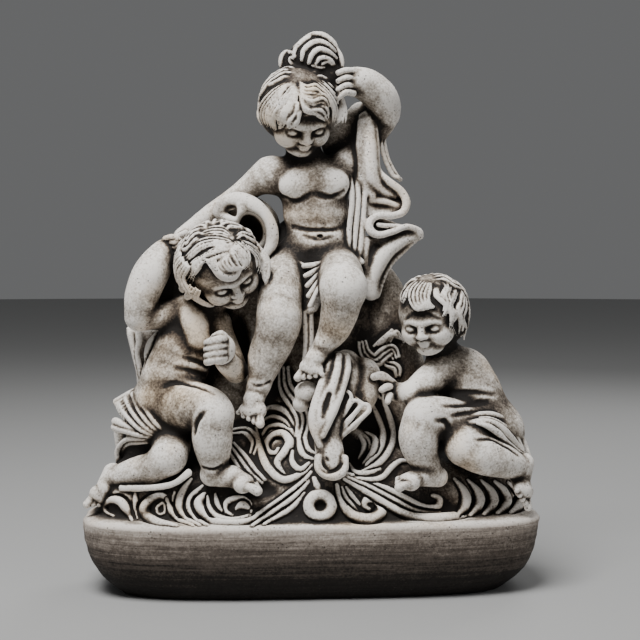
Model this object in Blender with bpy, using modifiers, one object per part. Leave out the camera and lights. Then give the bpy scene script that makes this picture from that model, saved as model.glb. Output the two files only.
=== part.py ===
"""Garden statue cast in one piece of concrete: three children and a dolphin on a boat-shaped plinth.

One child sits on top with a cloth over the shoulder, one kneels at the left and one sits at the right.
The dolphin comes down the middle, and water curls in scrolls over the mound. The back is plain rock.
Figures are set out in millimetres on the front elevation: u to the right of the centre line, v up,
y behind the middle plane. Everything is blended into one skin at the end.
"""
import math

import bmesh
import bpy
import numpy as np
from mathutils import Matrix, Vector
from mathutils.bvhtree import BVHTree

MM = 0.001

# Overall sizes, millimetres
LENGTH = 454.0
DEPTH = 190.0
RIM = 70.0

# Where the flat underside is on the front elevation
GROUND = -6.0

# The plinth's hull: how far its wall has drawn in at the ground, and how square its plan is
FOOT_INSET_X = 40.0
FOOT_INSET_Y = 27.0
PLAN_POWER = 3.4
RIM_ROUND = 5.0
HULL_SIDES = 72
HULL_RINGS = (0.0, 0.10, 0.24, 0.42, 0.62, 0.82)

# The front elevation is seen from this distance and height, from slightly to the left
VIEW_DISTANCE = 1500.0
VIEW_HEIGHT = 330.0
VIEW_YAW = math.radians(4.0)

# Half axes of a head's scalp, and a strand's radius as a share of the strands' spacing
SCALP = np.array([30.0, 33.0, 30.0])
STRAND = 0.62

# How much broader a ridge of water is than its drawn radius, and the lowest v its edge reaches
BREADTH = 1.2
WATERLINE = 51.0

# A ridge of water has its crest this way from its middle, in radii
CREST = np.array([-0.07, -0.9, 0.45])

# The skin
VOXEL = 2.2
GROUND_VOXEL = 4.0
SMOOTHING = 3
TRIANGLES = 9300
SPARE = 8.0

CONCRETE = (0.30, 0.275, 0.25, 1.0)
ROUGHNESS = 0.85


class Form:
    """Balls and tubes that overlap, to be taken as one body."""

    def __init__(self):
        self.balls = bmesh.new()
        self.tubes = bpy.data.curves.new("tubes", "CURVE")
        self.tubes.dimensions = "3D"
        self.tubes.bevel_depth = MM
        self.tubes.bevel_resolution = 2
        self.tubes.use_fill_caps = True

    def ball(self, centre, radii, turn=None, blend=0.0, cut=False):
        if cut:
            return
        radii = np.broadcast_to(np.asarray(radii, float), 3)
        axes = Matrix(turn.tolist()).to_4x4() if turn is not None else Matrix.Identity(4)
        place = Matrix.Translation(Vector(centre) * MM) @ axes @ Matrix.Diagonal((*(radii * MM), 1.0))
        fineness = 3 if radii.max() > 9 else 2
        bmesh.ops.create_icosphere(self.balls, subdivisions=fineness, radius=1.0, matrix=place)

    def tube(self, points, radii, blend=0.0, cut=False):
        if cut:
            return
        points = np.asarray(points, float)
        radii = np.broadcast_to(np.asarray(radii, float), len(points))
        spline = self.tubes.splines.new("POLY")
        spline.points.add(len(points) - 1)
        for knot, place, radius in zip(spline.points, points, radii):
            knot.co = (*(place * MM), 1.0)
            knot.radius = radius
        for end in (0, -1):
            self.ball(points[end], radii[end])

    def band(self, points, across, thick, blend=0.0, cut=False):
        points = np.asarray(points, float)
        across = np.broadcast_to(np.asarray(across, float), points.shape)
        width = 2 * np.linalg.norm(across, axis=1).max()
        count = max(2, math.ceil(width / (1.3 * thick)) + 1)
        for share in np.linspace(-1, 1, count):
            self.tube(points + across * share, thick)

    def merge(self, other, blend=0.0, cut=False):
        other_mesh = bpy.data.meshes.new("part of the form")
        other.balls.to_mesh(other_mesh)
        self.balls.from_mesh(other_mesh)
        bpy.data.meshes.remove(other_mesh)
        for old in other.tubes.splines:
            new = self.tubes.splines.new("POLY")
            new.points.add(len(old.points) - 1)
            for a, b in zip(new.points, old.points):
                a.co = b.co
                a.radius = b.radius
        other.free()

    def free(self):
        self.balls.free()
        bpy.data.curves.remove(self.tubes)

    def gather(self):
        """All balls and tubes in one bmesh."""
        both = bmesh.new()
        ball_mesh = bpy.data.meshes.new("balls")
        self.balls.to_mesh(ball_mesh)
        both.from_mesh(ball_mesh)
        bpy.data.meshes.remove(ball_mesh)
        if self.tubes.splines:
            curve_object = bpy.data.objects.new("tubes", self.tubes)
            bpy.context.scene.collection.objects.link(curve_object)
            evaluated = curve_object.evaluated_get(bpy.context.evaluated_depsgraph_get())
            tube_mesh = bpy.data.meshes.new_from_object(evaluated)
            both.from_mesh(tube_mesh)
            bpy.data.meshes.remove(tube_mesh)
            bpy.data.objects.remove(curve_object)
        return both

    def tree(self):
        both = self.gather()
        found = BVHTree.FromBMesh(both)
        both.free()
        return found


def smooth(knots, steps):
    """A Catmull-Rom curve through the knots, any number of columns."""
    k = np.asarray(knots, float)
    k = np.vstack([2 * k[0] - k[1], k, 2 * k[-1] - k[-2]])
    t = (np.arange(steps) / steps)[:, None]
    out = []
    for p0, p1, p2, p3 in zip(k[:-3], k[1:-2], k[2:-1], k[3:]):
        linear = 2 * p1 + (p2 - p0) * t
        square = (2 * p0 - 5 * p1 + 4 * p2 - p3) * t**2
        cube = (3 * p1 - p0 - 3 * p2 + p3) * t**3
        out.append(0.5 * (linear + square + cube))
    return np.vstack(out + [k[-2:-1]])


def skinned(body, name, voxel, smoothing):
    """One closed skin round a bmesh of overlapping pieces."""
    mesh = bpy.data.meshes.new(name)
    body.to_mesh(mesh)
    body.free()
    item = bpy.data.objects.new(name, mesh)
    bpy.context.scene.collection.objects.link(item)
    remesh = item.modifiers.new("skin", "REMESH")
    remesh.mode = "VOXEL"
    remesh.voxel_size = voxel * MM
    remesh.adaptivity = 0.0
    if smoothing:
        soft = item.modifiers.new("soften the joins", "SMOOTH")
        soft.factor = 0.5
        soft.iterations = smoothing
    baked = bpy.data.meshes.new_from_object(item.evaluated_get(bpy.context.evaluated_depsgraph_get()))
    baked.name = name
    bpy.data.objects.remove(item)
    bpy.data.meshes.remove(mesh)
    return baked


def largest_body(mesh):
    """Keeps only the mesh's largest connected body: pockets sealed inside the concrete are filled."""
    bm = bmesh.new()
    bm.from_mesh(mesh)
    left = set(bm.verts)
    bodies = []
    while left:
        body = [left.pop()]
        for v in body:
            for e in v.link_edges:
                w = e.other_vert(v)
                if w in left:
                    left.discard(w)
                    body.append(w)
        bodies.append(body)
    bodies.sort(key=len)
    for body in bodies[:-1]:
        bmesh.ops.delete(bm, geom=body, context="VERTS")
    bm.to_mesh(mesh)
    bm.free()


def hull():
    """The plinth as rings of a squared ellipse, drawn in towards the ground, with a rounded rim.

    It runs on below the ground by SPARE, where the casting is cut flat at the end.
    """
    bm = bmesh.new()
    bmesh.ops.create_circle(bm, cap_ends=True, segments=HULL_SIDES, radius=1.0)
    height = RIM - GROUND
    rings = [(GROUND - SPARE, FOOT_INSET_X, FOOT_INSET_Y)]
    for share in HULL_RINGS:
        depth = 1 - share
        rings.append((GROUND + share * height, FOOT_INSET_X * depth**3, FOOT_INSET_Y * depth**3))
    for turn in np.linspace(0, math.pi / 2, 4):
        inset = RIM_ROUND * (1 - math.cos(turn))
        rings.append((RIM - RIM_ROUND + RIM_ROUND * math.sin(turn), inset, inset))
    plan = []
    for n in range(HULL_SIDES):
        a = 2 * math.pi * (n + 0.5) / HULL_SIDES
        c, s = math.cos(a), math.sin(a)
        r = (abs(c) ** PLAN_POWER + abs(s) ** PLAN_POWER) ** (-1 / PLAN_POWER)
        plan.append((c * r, s * r))
    reach_x = max(abs(x) for x, y in plan)
    reach_y = max(abs(y) for x, y in plan)
    plan = [(x / reach_x, y / reach_y) for x, y in plan]
    order = sorted(bm.verts, key=lambda v: math.atan2(v.co.y, v.co.x) % (2 * math.pi))
    bm.faces.ensure_lookup_table()
    face = bm.faces[0]
    for step, (z, inset_x, inset_y) in enumerate(rings):
        if step:
            pushed = bmesh.ops.extrude_face_region(bm, geom=[face])["geom"]
            order = sorted((v for v in pushed if isinstance(v, bmesh.types.BMVert)),
                           key=lambda v: math.atan2(v.co.y / DEPTH, v.co.x / LENGTH) % (2 * math.pi))
            face = next(f for f in pushed if isinstance(f, bmesh.types.BMFace))
        for v, (px, py) in zip(order, plan):
            v.co = Vector((px * (LENGTH / 2 - inset_x), py * (DEPTH / 2 - inset_y), z)) * MM
    bmesh.ops.recalc_face_normals(bm, faces=bm.faces)
    return bm


def at(u, v, y):
    """The point y behind the middle plane that shows at u, v on the front elevation."""
    s = (VIEW_DISTANCE + y) / VIEW_DISTANCE
    x, z = u * s, VIEW_HEIGHT + (v - VIEW_HEIGHT) * s
    c, w = math.cos(VIEW_YAW), math.sin(VIEW_YAW)
    return np.array([x * c + y * w, y * c - x * w, z])


def path(*knots, steps=6):
    """Elevation knots (u, v, y, r) as a smooth line: points and radii."""
    k = np.array([[*at(a, b, c), r] for a, b, c, r in knots])
    k = smooth(k, steps)
    return k[:, :3], k[:, 3]


def limb(clay, *knots, blend=8.0, steps=5, cut=False):
    p, r = path(*knots, steps=steps)
    clay.tube(p, r, blend, cut)


def mass(clay, u, v, y, radii, blend=10.0, turn=None, cut=False):
    clay.ball(at(u, v, y), radii, turn, blend, cut)


def rotation(yaw=0.0, pitch=0.0, roll=0.0):
    """Columns: a head's own right, back and up. Yaw turns it to +x, pitch bows it, roll leans it to -x."""
    a, b, c = (math.radians(t) for t in (yaw, pitch, roll))
    about_z = np.array([[math.cos(a), -math.sin(a), 0], [math.sin(a), math.cos(a), 0], [0, 0, 1]])
    about_x = np.array([[1, 0, 0], [0, math.cos(b), -math.sin(b)], [0, math.sin(b), math.cos(b)]])
    about_y = np.array([[math.cos(c), 0, -math.sin(c)], [0, 1, 0], [math.sin(c), 0, math.cos(c)]])
    return about_y @ about_z @ about_x


class Place:
    """A local frame: millimetres along its own axes times size."""

    def __init__(self, centre, axes, size=1.0):
        self.centre, self.axes, self.size = np.asarray(centre, float), axes, size

    def __call__(self, x, y, z):
        return self.centre + self.axes @ (np.array([x, y, z], float) * self.size)


def core(clay):
    """The mass of rock and water behind and under the figures, with a plain rocky back."""
    clay.ball((0, 8, 66), (168, 72, 62), blend=14)
    clay.ball((0, -4, 72), (130, 74, 88), blend=14)
    clay.ball((-120, 10, 75), (92, 58, 52), blend=14)
    clay.ball((120, 10, 75), (92, 58, 50), blend=14)
    limb(clay, (0, 100, 8, 60), (6, 190, 16, 46), (10, 270, 20, 38), (12, 330, 22, 30), (8, 372, 20, 22),
         blend=16)
    clay.ball((62, 24, 240), (44, 28, 80), blend=18)
    clay.ball((70, 26, 150), (70, 38, 70), blend=16)
    clay.ball((-86, 28, 170), (60, 34, 84), blend=16)
    clay.ball((-62, 28, 280), (44, 24, 60), blend=16)
    # seats under the two lower children
    clay.ball((178, 8, 106), (38, 34, 30), blend=14)
    clay.ball((-150, 12, 132), (38, 34, 40), blend=14)
    clay.ball((-176, 0, 90), (34, 40, 30), blend=14)
    # the back: a slab that narrows upwards, and ledges of rock on it
    slab = smooth([(0, 38, 84, 122), (0, 40, 170, 112), (-3, 40, 240, 80), (-7, 38, 284, 68),
                   (3, 36, 322, 36), (14, 34, 352, 14), (10, 32, 378, 3)], 4)
    clay.band(slab[:, :3], slab[:, 3:] * np.array([1, 0, 0]), 25, 16)
    rng = np.random.default_rng(4)
    for row in range(9):
        z = 66 + 35 * row
        reach = np.interp(z, slab[:, 2], slab[:, 3])
        centre = np.interp(z, slab[:, 2], slab[:, 0])
        number = 1 + int(reach / 28)
        for n in range(number):
            x = centre + 0.85 * reach * (2 * (n + 0.5) / number - 1) + rng.uniform(-8, 8)
            turn = rotation(rng.uniform(-40, 40), rng.uniform(-30, 30), rng.uniform(-35, 35))
            clay.ball((x, 50, z + rng.uniform(-8, 8)), (rng.uniform(26, 40), rng.uniform(17, 23),
                    rng.uniform(20, 30)), turn, 6)


def face(clay, p):
    """A calm child's face on its own axes: x right, y back, z up; 28 to the temple, 29 down to the chin."""
    s = p.size
    clay.ball(p(0, 3, 5), np.array([29, 32, 29]) * s, p.axes)
    clay.ball(p(0, -8, -6), np.array([24.5, 21, 21]) * s, p.axes)
    for side in (-1, 1):
        clay.ball(p(side * 13.5, -17.5, -10.5), np.array([11.5, 11, 10.5]) * s, p.axes)
        clay.ball(p(side * 11.6, -24.6, -2.5), np.array([5.4, 4.6, 3.4]) * s, p.axes)
        clay.ball(p(side * 28, 6, -5), np.array([4, 7, 9]) * s, p.axes)
    clay.ball(p(0, -22.5, -22), np.array([8, 7.5, 6]) * s, p.axes)
    clay.ball(p(0, -16, -25), np.array([13, 11, 6]) * s, p.axes)
    brow = [p(-17, -23, 4.5), p(-9, -28.0, 6.2), p(0, -28.8, 5), p(9, -28.0, 6.2), p(17, -23, 4.5)]
    clay.tube(brow, 3.2 * s)
    clay.tube([p(0, -28.2, 1), p(0, -31.0, -3.5), p(0, -33.8, -8)], np.array([2.8, 3.4, 4.4]) * s)
    clay.tube([p(-6, -27.6, -16), p(0, -29.6, -15.6), p(6, -27.6, -16)], np.array([2.0, 3.2, 2.0]) * s)


def comb(form, p, first, last, count, lift):
    """A lock of hair between two edges given as elevation knots (u, v), as a few broad strands."""
    a = smooth(np.array(first, float), 3)
    b = smooth(np.array(last, float), 3)
    s = np.linspace(0, 1, len(a))
    strands = max(2, int((count + 1) / 2))
    step = np.linalg.norm(b - a, axis=1) / (strands - 1)
    radius = np.clip(STRAND * step, 1.6, 3.6) * np.interp(s, (0, 0.12, 0.72, 1), (0.7, 1, 1, 0.5))
    for n in range(strands):
        t = n / (strands - 1)
        swell = lift + 1.6 * math.sin(math.pi * (0.15 + 0.7 * t)) * np.sin(math.pi * s)
        line = a * (1 - t) + b * t
        form.tube([on_scalp(p, u, v, w) for (u, v), w in zip(line, swell)], radius)


def scalp(p, azimuth, elevation, lift=0.0):
    """A point of the scalp. Azimuth 0 is over the brow and runs to the figure's +x side. Degrees."""
    a, e = math.radians(azimuth), math.radians(elevation)
    r = SCALP + lift
    return p(r[0] * math.sin(a) * math.cos(e), 3 - r[1] * math.cos(a) * math.cos(e),
             5 + r[2] * math.sin(e))


def on_scalp(p, u, v, lift, ball=SCALP, middle=(0, 3, 5)):
    """The point of the scalp, raised by lift, that shows at u, v, or else the point beside its edge."""
    eye = at(0, VIEW_HEIGHT, -VIEW_DISTANCE)
    ray = at(u, v, 0) - eye
    radii = (ball + lift) * p.size
    start = (p.axes.T @ (eye - p(*middle))) / radii
    ahead = (p.axes.T @ ray) / radii
    a, b, c = ahead @ ahead, start @ ahead, start @ start - 1
    return eye + ray * (-b - math.sqrt(max(b * b - a * c, 0))) / a


TOP_LOCKS = (
    ([(-19, 498), (-33, 492), (-45, 482), (-53, 469), (-52, 457), (-45, 449)],
     [(-17, 496), (-26, 489), (-36, 476), (-42, 466), (-42, 456), (-40, 448)], 5),
    ([(-17, 496), (-24, 487), (-34, 475), (-40, 465), (-40, 455), (-37, 448)],
     [(-15, 493), (-20, 484), (-28, 475), (-34, 467), (-37, 459), (-35, 449)], 3),
    ([(-15, 492), (-21, 482), (-30, 471), (-34, 462), (-33, 450)],
     [(-13, 491), (-15, 479), (-19, 469), (-24, 460), (-29, 451)], 5),
    ([(-14, 475), (-16, 466), (-21, 459), (-25, 451)],
     [(-13, 469), (-14, 462), (-16, 457), (-23, 450)], 2),
    ([(-13, 497), (-5, 492), (4, 493), (11, 487), (17, 484)],
     [(-13, 493), (-7, 486), (2, 485), (9, 484), (15, 479)], 3),
    ([(-12, 492), (-8, 484), (0, 481), (9, 484), (16, 479), (17, 472)],
     [(-12, 487), (-8, 479), (0, 474), (8, 476), (13, 473), (15, 466)], 3),
    ([(-12, 484), (-8, 476), (-1, 471), (9, 472), (15, 468), (17, 460)],
     [(-12, 478), (-9, 470), (-3, 466), (4, 466), (9, 462), (14, 457)], 3),
    ([(6, 498), (15, 491), (23, 481), (27, 470), (27, 459), (23, 452)],
     [(4, 493), (12, 485), (17, 477), (21, 469), (21, 461), (20, 453)], 4),
    ([(15, 498), (24, 491), (31, 479), (34, 466), (33, 455)],
     [(9, 498), (18, 489), (26, 479), (29, 468), (28, 457)], 3),
)
LEFT_LOCKS = (
    ([(-78, 343), (-87, 354), (-99, 355), (-111, 350), (-117, 341)],
     [(-79, 340), (-89, 344), (-99, 345), (-109, 343), (-117, 339)], 5),
    ([(-79, 338), (-90, 341), (-101, 342), (-112, 339), (-120, 332), (-128, 324), (-134, 317)],
     [(-80, 334), (-90, 334), (-101, 334), (-111, 330), (-118, 324), (-125, 318), (-131, 312)], 4),
    ([(-80, 333), (-89, 332), (-99, 331), (-109, 325), (-117, 320), (-124, 312), (-134, 301)],
     [(-82, 330), (-90, 328), (-99, 325), (-108, 321), (-114, 315), (-120, 307), (-126, 299)], 4),
    ([(-82, 328), (-92, 324), (-101, 321), (-109, 320), (-115, 314), (-121, 305), (-126, 297)],
     [(-84, 325), (-93, 321), (-101, 318), (-108, 317), (-112, 311), (-117, 304), (-120, 296)], 3),
    ([(-82, 328), (-90, 324), (-96, 320), (-93, 314), (-87, 308), (-80, 306), (-73, 309), (-68, 313)],
     [(-86, 327), (-98, 322), (-104, 318), (-99, 310), (-93, 303), (-85, 300), (-77, 301),
      (-71, 307)], 4),
    ([(-81, 330), (-80, 322), (-76, 316), (-71, 312), (-66, 312)],
     [(-88, 326), (-92, 318), (-89, 311), (-82, 308), (-74, 308)], 5),
    ([(-79, 334), (-77, 327), (-73, 320), (-69, 314)],
     [(-82, 331), (-81, 323), (-78, 317), (-75, 312)], 3),
    ([(-76, 346), (-71, 350), (-65, 349), (-60, 346)],
     [(-75, 341), (-69, 344), (-62, 340), (-54, 336)], 3),
    ([(-76, 339), (-70, 334), (-64, 328), (-62, 321), (-63, 314), (-59, 307)],
     [(-79, 336), (-75, 328), (-71, 322), (-68, 316), (-68, 312), (-64, 308)], 4),
    ([(-73, 341), (-60, 334), (-51, 325), (-48, 315), (-50, 306)],
     [(-75, 338), (-65, 332), (-57, 324), (-55, 315), (-57, 307)], 4),
    ([(-70, 342), (-57, 336), (-46, 325), (-43, 314), (-45, 300), (-46, 292)],
     [(-71, 341), (-59, 334), (-49, 325), (-46, 314), (-48, 303), (-46, 295)], 2),
)
RIGHT_LOCKS = (
    ([(110, 301), (100, 290), (99, 279), (106, 270), (122, 272)],
     [(119, 298), (118, 290), (116, 284), (117, 278), (123, 274)], 6),
    ([(109, 302), (98, 296), (91, 288), (88, 279)],
     [(106, 298), (99, 292), (95, 285), (90, 275)], 3),
    ([(122, 293), (123, 284), (129, 278), (134, 272), (130, 263)],
     [(126, 292), (127, 285), (133, 280), (136, 274), (134, 264)], 3),
    ([(123, 301), (133, 294), (130, 285), (133, 277), (131, 269)],
     [(126, 304), (138, 295), (136, 285), (138, 276), (136, 267)], 3),
    ([(128, 305), (141, 294), (139, 284), (136, 275), (139, 265), (138, 255), (139, 246)],
     [(131, 305), (145, 293), (143, 282), (140, 274), (144, 264), (141, 255), (145, 244)], 3),
    ([(134, 303), (147, 290), (148, 279), (145, 269), (148, 259), (147, 246)],
     [(136, 302), (151, 284), (153, 272), (150, 262), (153, 252), (152, 240)], 3),
)


def lock(clay, p, knots, width, strands=1, lift=2.0, blend=0.5, tip=0.25):
    """A lock of hair along scalp knots (azimuth, elevation[, lift]): strands that meet at its tip."""
    k = np.array([(*w, 0.0)[:3] for w in knots], float)
    k = smooth(k, 6)
    line = np.array([scalp(p, a, e, lift + c) for a, e, c in k])
    t = np.linspace(0, 1, len(line))
    along = np.gradient(line, axis=0)
    along /= np.linalg.norm(along, axis=1, keepdims=True) + 1e-9
    out = line - p(0, 3, 2)
    out /= np.linalg.norm(out, axis=1, keepdims=True)
    side = np.cross(along, out)
    swell = tip + (1 - tip) * np.sin(math.pi * np.clip(0.22 + 0.74 * t, 0, 1)) ** 0.8
    pitch = width / strands
    radius = 0.45 * pitch if strands > 1 else 0.3 * width
    for n in range(strands):
        off = (n - (strands - 1) / 2) * pitch
        mid = 1 - abs(n - (strands - 1) / 2) / max(strands - 1, 1)
        pts = line + side * (off * swell)[:, None] + out * (mid * 2.0 * swell)[:, None]
        thickness = radius * (0.4 + 0.75 * swell)
        clay.tube(pts, thickness, blend)
        clay.tube(pts + out * (0.75 * thickness)[:, None], 0.5 * thickness, 0.8)


TIERS = ((10, 15), (36, 15), (60, 11), (84, 7))


def hair(clay, p, seed, locks, hairline=22, low=-26, wave=9, thick=3.0, part=0.0, bare=95):
    """Locks in tiers from the nape up round the back of the head, then the combed locks over the brow."""
    rng = np.random.default_rng(seed)
    s = p.size
    cap = Form()
    cap.ball(p(0, 11, 12), np.array([30, 30, 29]) * s + thick * 0.8, p.axes)
    cap.ball(p(0, 14, -8), np.array([29, 24, 22]) * s + thick * 0.6, p.axes, 6)
    clay.merge(cap, 2)
    for tier, (top, number) in enumerate(TIERS):
        for n in range(number):
            az = -180 + 360 * (n + 0.5 * (tier % 2)) / number + rng.uniform(-4, 4)
            if abs(az) < bare:
                continue
            front = max(0.0, 1 - abs(az) / 85)
            end = low + (hairline - low) * min(1, front * 1.8)
            bottom = max(end + rng.uniform(-2, 3), top - 54)
            if top - bottom < 14:
                continue
            middle = math.radians((top + bottom) / 2)
            width = 1.3 * 2 * math.pi * 31 * s * math.cos(middle) / number
            away = min(max(1.3 * math.sin(math.radians(az - part)), -1), 1)
            bend = away * wave * rng.uniform(0.8, 1.3) / max(math.cos(middle), 0.6)
            knots = [(az, top, -0.6 * thick), (az + bend * 0.9, top * 0.68 + bottom * 0.32, 0.1 * thick),
                     (az + bend * 0.3, top * 0.3 + bottom * 0.7, 0.3 * thick), (az + bend * 1.5, bottom,
                             0.2 * thick)]
            lock(clay, p, knots, width, lift=thick * 0.3)
    for first, last, count in locks:
        comb(clay, p, first, last, count, thick)


def folds(clay, first, last, count, radius, blend=1.0, steps=6):
    """Cloth folds side by side between two edges of elevation knots (u, v, y)."""
    a = np.array([at(*k) for k in first])
    b = np.array([at(*k) for k in last])
    a, b = smooth(a, steps), smooth(b, steps)
    r0, r1 = radius if isinstance(radius, tuple) else (radius, radius)
    for n in range(count):
        t = n / max(count - 1, 1)
        clay.tube(a * (1 - t) + b * t, np.linspace(r0, r1, len(a)), blend)


def sheet(clay, first, last, thick, blend=1.5, steps=6):
    """A smooth sheet of cloth between two edges given as elevation knots (u, v, y)."""
    a = smooth(np.array([at(*k) for k in first]), steps)
    b = smooth(np.array([at(*k) for k in last]), steps)
    clay.band((a + b) / 2, (a - b) / 2, thick, blend)


def foot(clay, heel, toes, sole, size=1.0, big=-1, blend=4.0):
    """A bare foot from heel to toe tips; sole is where its underside faces, big the big toe's side."""
    heel, toes, sole = (np.asarray(v, float) for v in (heel, toes, sole))
    ahead = toes - heel
    length = np.linalg.norm(ahead)
    ahead /= length
    sole = sole - ahead * (sole @ ahead)
    sole /= np.linalg.norm(sole)
    side = np.cross(ahead, sole) * -big
    s = size
    clay.tube([heel, heel + ahead * length * 0.40 - sole * 2 * s,
               heel + ahead * length * 0.66 + sole * 2 * s], np.array([9.5, 9, 7.5]) * s, blend)
    ball = heel + ahead * length * 0.66
    clay.tube([ball - side * 6 * s + sole * 1.5 * s, ball + side * 7 * s + sole * 2.5 * s],
              np.array([7.0, 5.0]) * s, blend)
    for n in range(5):
        across = (-9.0 + 4.9 * n) * s
        reach = length * (1.0 - 0.05 * n**1.2)
        r = (4.2 if n == 0 else 3.1 - 0.15 * n) * s
        base = ball + side * across * 0.8 + sole * 2.5 * s
        tip = heel + ahead * reach + side * across * 1.12 + sole * 3.0 * s
        middle = (base + tip) / 2 - sole * 1.2 * s
        clay.tube([base, middle, tip], np.array([r, r * 0.82, r]), 0.5 * s)


def finger(clay, knots, radius, blend=1.0):
    k = smooth(np.array(knots, float), 3)
    clay.tube(k, np.linspace(radius, radius * 0.8, len(k)), blend)


def seen(tree, points, lift):
    """Moves points along their view rays onto the nearest surface, lift millimetres nearer the viewer."""
    eye = at(0, VIEW_HEIGHT, -VIEW_DISTANCE)
    out = []
    for p in np.atleast_2d(points):
        ray = (p - eye) / np.linalg.norm(p - eye)
        hit = tree.ray_cast(Vector(eye) * MM, Vector(ray))[0]
        out.append(np.array(hit) / MM - ray * lift if hit is not None else p)
    return np.array(out)


def drape(ground, uv, lift=0.0):
    """Elevation points laid on the ground, eased along the line."""
    out = seen(ground, [at(u, v, 0) for u, v in uv], lift)
    for _ in range(2):
        out[1:-1] = 0.25 * out[:-2] + 0.5 * out[1:-1] + 0.25 * out[2:]
    return out


def ribbon(form, stone, ground, *knots):
    """One broad ridge of water along elevation knots (u, v, radius), laid on the ground."""
    k = smooth(np.array(knots, float), 4)
    r = BREADTH * k[:, 2]
    k[:, 1] = np.maximum(k[:, 1], WATERLINE + r)
    form.tube(drape(ground, k[:, :2]) + CREST * (0.15 * r)[:, None], r)


def stream(clay, ground, knots, ridges, gap=6.0, radius=2.5, lift=1.2):
    """Ridges of water side by side along an elevation line."""
    line = smooth(np.array(knots, float), 8)
    along = np.gradient(line, axis=0)
    along /= np.linalg.norm(along, axis=1, keepdims=True) + 1e-9
    side = np.stack([-along[:, 1], along[:, 0]], 1)
    t = np.linspace(0, 1, len(line))
    spread = 0.45 + 0.55 * np.sin(math.pi * np.clip(t * 0.7 + 0.15, 0, 1))
    r = radius * (0.5 + 0.6 * np.sin(math.pi * np.clip(t, 0.06, 0.92)))
    for n in range(ridges):
        off = (n - (ridges - 1) / 2) * gap
        p = drape(ground, line + side * (off * spread)[:, None], lift)
        clay.tube(p, r, 0.5)
        clay.tube(p + CREST * r[:, None], 0.5 * r, 1.5)


def top_putto():
    f = Form()
    # trunk
    mass(f, 6, 316, 8, (37, 29, 27), 0)
    mass(f, 7, 338, 0, (34, 27, 25), 10)
    mass(f, 4, 366, 0, (33, 25, 26), 10)
    mass(f, 1, 396, 2, (38, 26, 27), 12)
    mass(f, -15, 394, -17, (17, 9, 14), 8)
    mass(f, 22, 396, -15, (15, 9, 13), 8)
    limb(f, (-4, 412, 8, 18), (-10, 436, 2, 17), blend=10)
    mass(f, -34, 404, 4, (20, 18, 17), 10)
    mass(f, 33, 412, 8, (16, 17, 17), 10)
    # his right arm reaches down to the kneeling child's hand
    limb(f, (-42, 405, 4, 18), (-57, 396, 6, 13.5), (-77, 381, 8, 11.5), (-100, 366, 8, 10),
         (-117, 354, 6, 8.5), (-130, 344, 2, 8), blend=8)
    # his left arm is raised behind the head, and the hollow behind it is filled
    mass(f, 50, 452, 26, (20, 11, 26), 6)
    mass(f, 30, 440, 22, (22, 12, 26), 6)
    limb(f, (34, 412, 12, 17), (52, 436, 22, 15), (68, 455, 24, 14), (73, 468, 16, 15.5),
         (68, 482, 6, 17), (55, 493, -2, 16.5), (43, 497, -8, 14.5), (37, 497, -10, 12), blend=6)
    # legs: the right hangs to the rock, the left knee comes forward
    limb(f, (-22, 316, 2, 23), (-30, 296, -26, 23), (-33, 272, -46, 21.5), (-33, 258, -50, 20), blend=10)
    limb(f, (-32, 262, -50, 20), (-38, 240, -46, 20), (-46, 222, -44, 17.5), (-51, 204, -44, 13),
         (-53, 196, -46, 12), blend=7)
    limb(f, (22, 316, 2, 24), (28, 304, -34, 23), (31, 294, -62, 22), blend=10)
    limb(f, (32, 290, -64, 21), (27, 266, -58, 18), (22, 250, -54, 15), (14, 238, -56, 11), blend=7)
    foot(f, at(-54, 192, -40), at(-64, 159, -66), (0.1, 0.55, -1), 1.12, big=1)
    foot(f, at(10, 232, -52), at(-6, 202, -70), (0.2, 0.6, -1), 1.0)
    # head
    p = Place(at(-13, 464, -14), rotation(12, 37, 3), 1.08)
    head = Form()
    face(head, p)
    hair(head, p, 3, TOP_LOCKS, hairline=29, low=-28, wave=6, thick=5.0, part=20)
    f.merge(head, 3)
    topknot(f)
    # fingers of the raised hand on the topknot, and of the lower hand
    for n in range(4):
        v = 507 - 7.2 * n
        finger(f, [at(41, v, -18), at(34, v + 1, -24), at(26, v - 1.5 - n, -24)], 3.5, 1.2)
    for n in range(4):
        finger(f, [at(-126 - n * 1.5, 347 - 2 * n, -4), at(-136 - n, 342 - 3.4 * n, -13),
                   at(-143 + n, 334 - 3.6 * n, -15)], 3.3, 0.4)
    return f


BUN = np.array([24.0, 20.0, 22.0])
BUN_STRANDS = (
    ((-18, 520, 2.2), (-15, 530, 3.0), (-6, 538, 3.6), (4, 543, 3.6), (13, 541, 3.6), (21, 535, 3.2),
     (25, 529, 2.0)),
    ((-10, 518, 2.0), (-8, 527, 3.0), (0, 534, 3.4), (9, 535, 3.4), (17, 531, 3.2), (23, 526, 2.0)),
    ((-3, 515, 2.0), (0, 523, 3.0), (6, 528, 3.2), (13, 527, 3.2), (19, 524, 2.6), (24, 520, 1.6)),
    ((4, 515, 1.8), (8, 520, 2.6), (14, 520, 2.6), (19, 517, 2.4), (23, 511, 1.6)),
    ((25, 529, 2.0), (28, 522, 2.8), (29, 514, 2.8), (27, 505, 2.0)),
    ((10, 514, 1.6), (15, 517, 2.2), (20, 513, 2.2), (24, 506, 1.4)),
    ((-17, 525, 2.2), (-26, 525, 3.0), (-30, 518, 3.2), (-28, 510, 3.2), (-21, 503, 3.2),
     (-11, 502, 2.4)),
    ((-16, 522, 1.8), (-21, 519, 2.6), (-18, 513, 2.8), (-12, 509, 2.6), (-5, 509, 1.8)),
    ((-10, 507, 1.6), (-3, 505, 2.4), (4, 508, 2.4), (11, 505, 1.6)),
    ((-4, 501, 1.6), (4, 500, 2.4), (11, 503, 2.4), (19, 499, 1.6)),
    ((0, 513, 1.4), (6, 511, 2.0), (12, 511, 1.4)),
)


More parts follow.
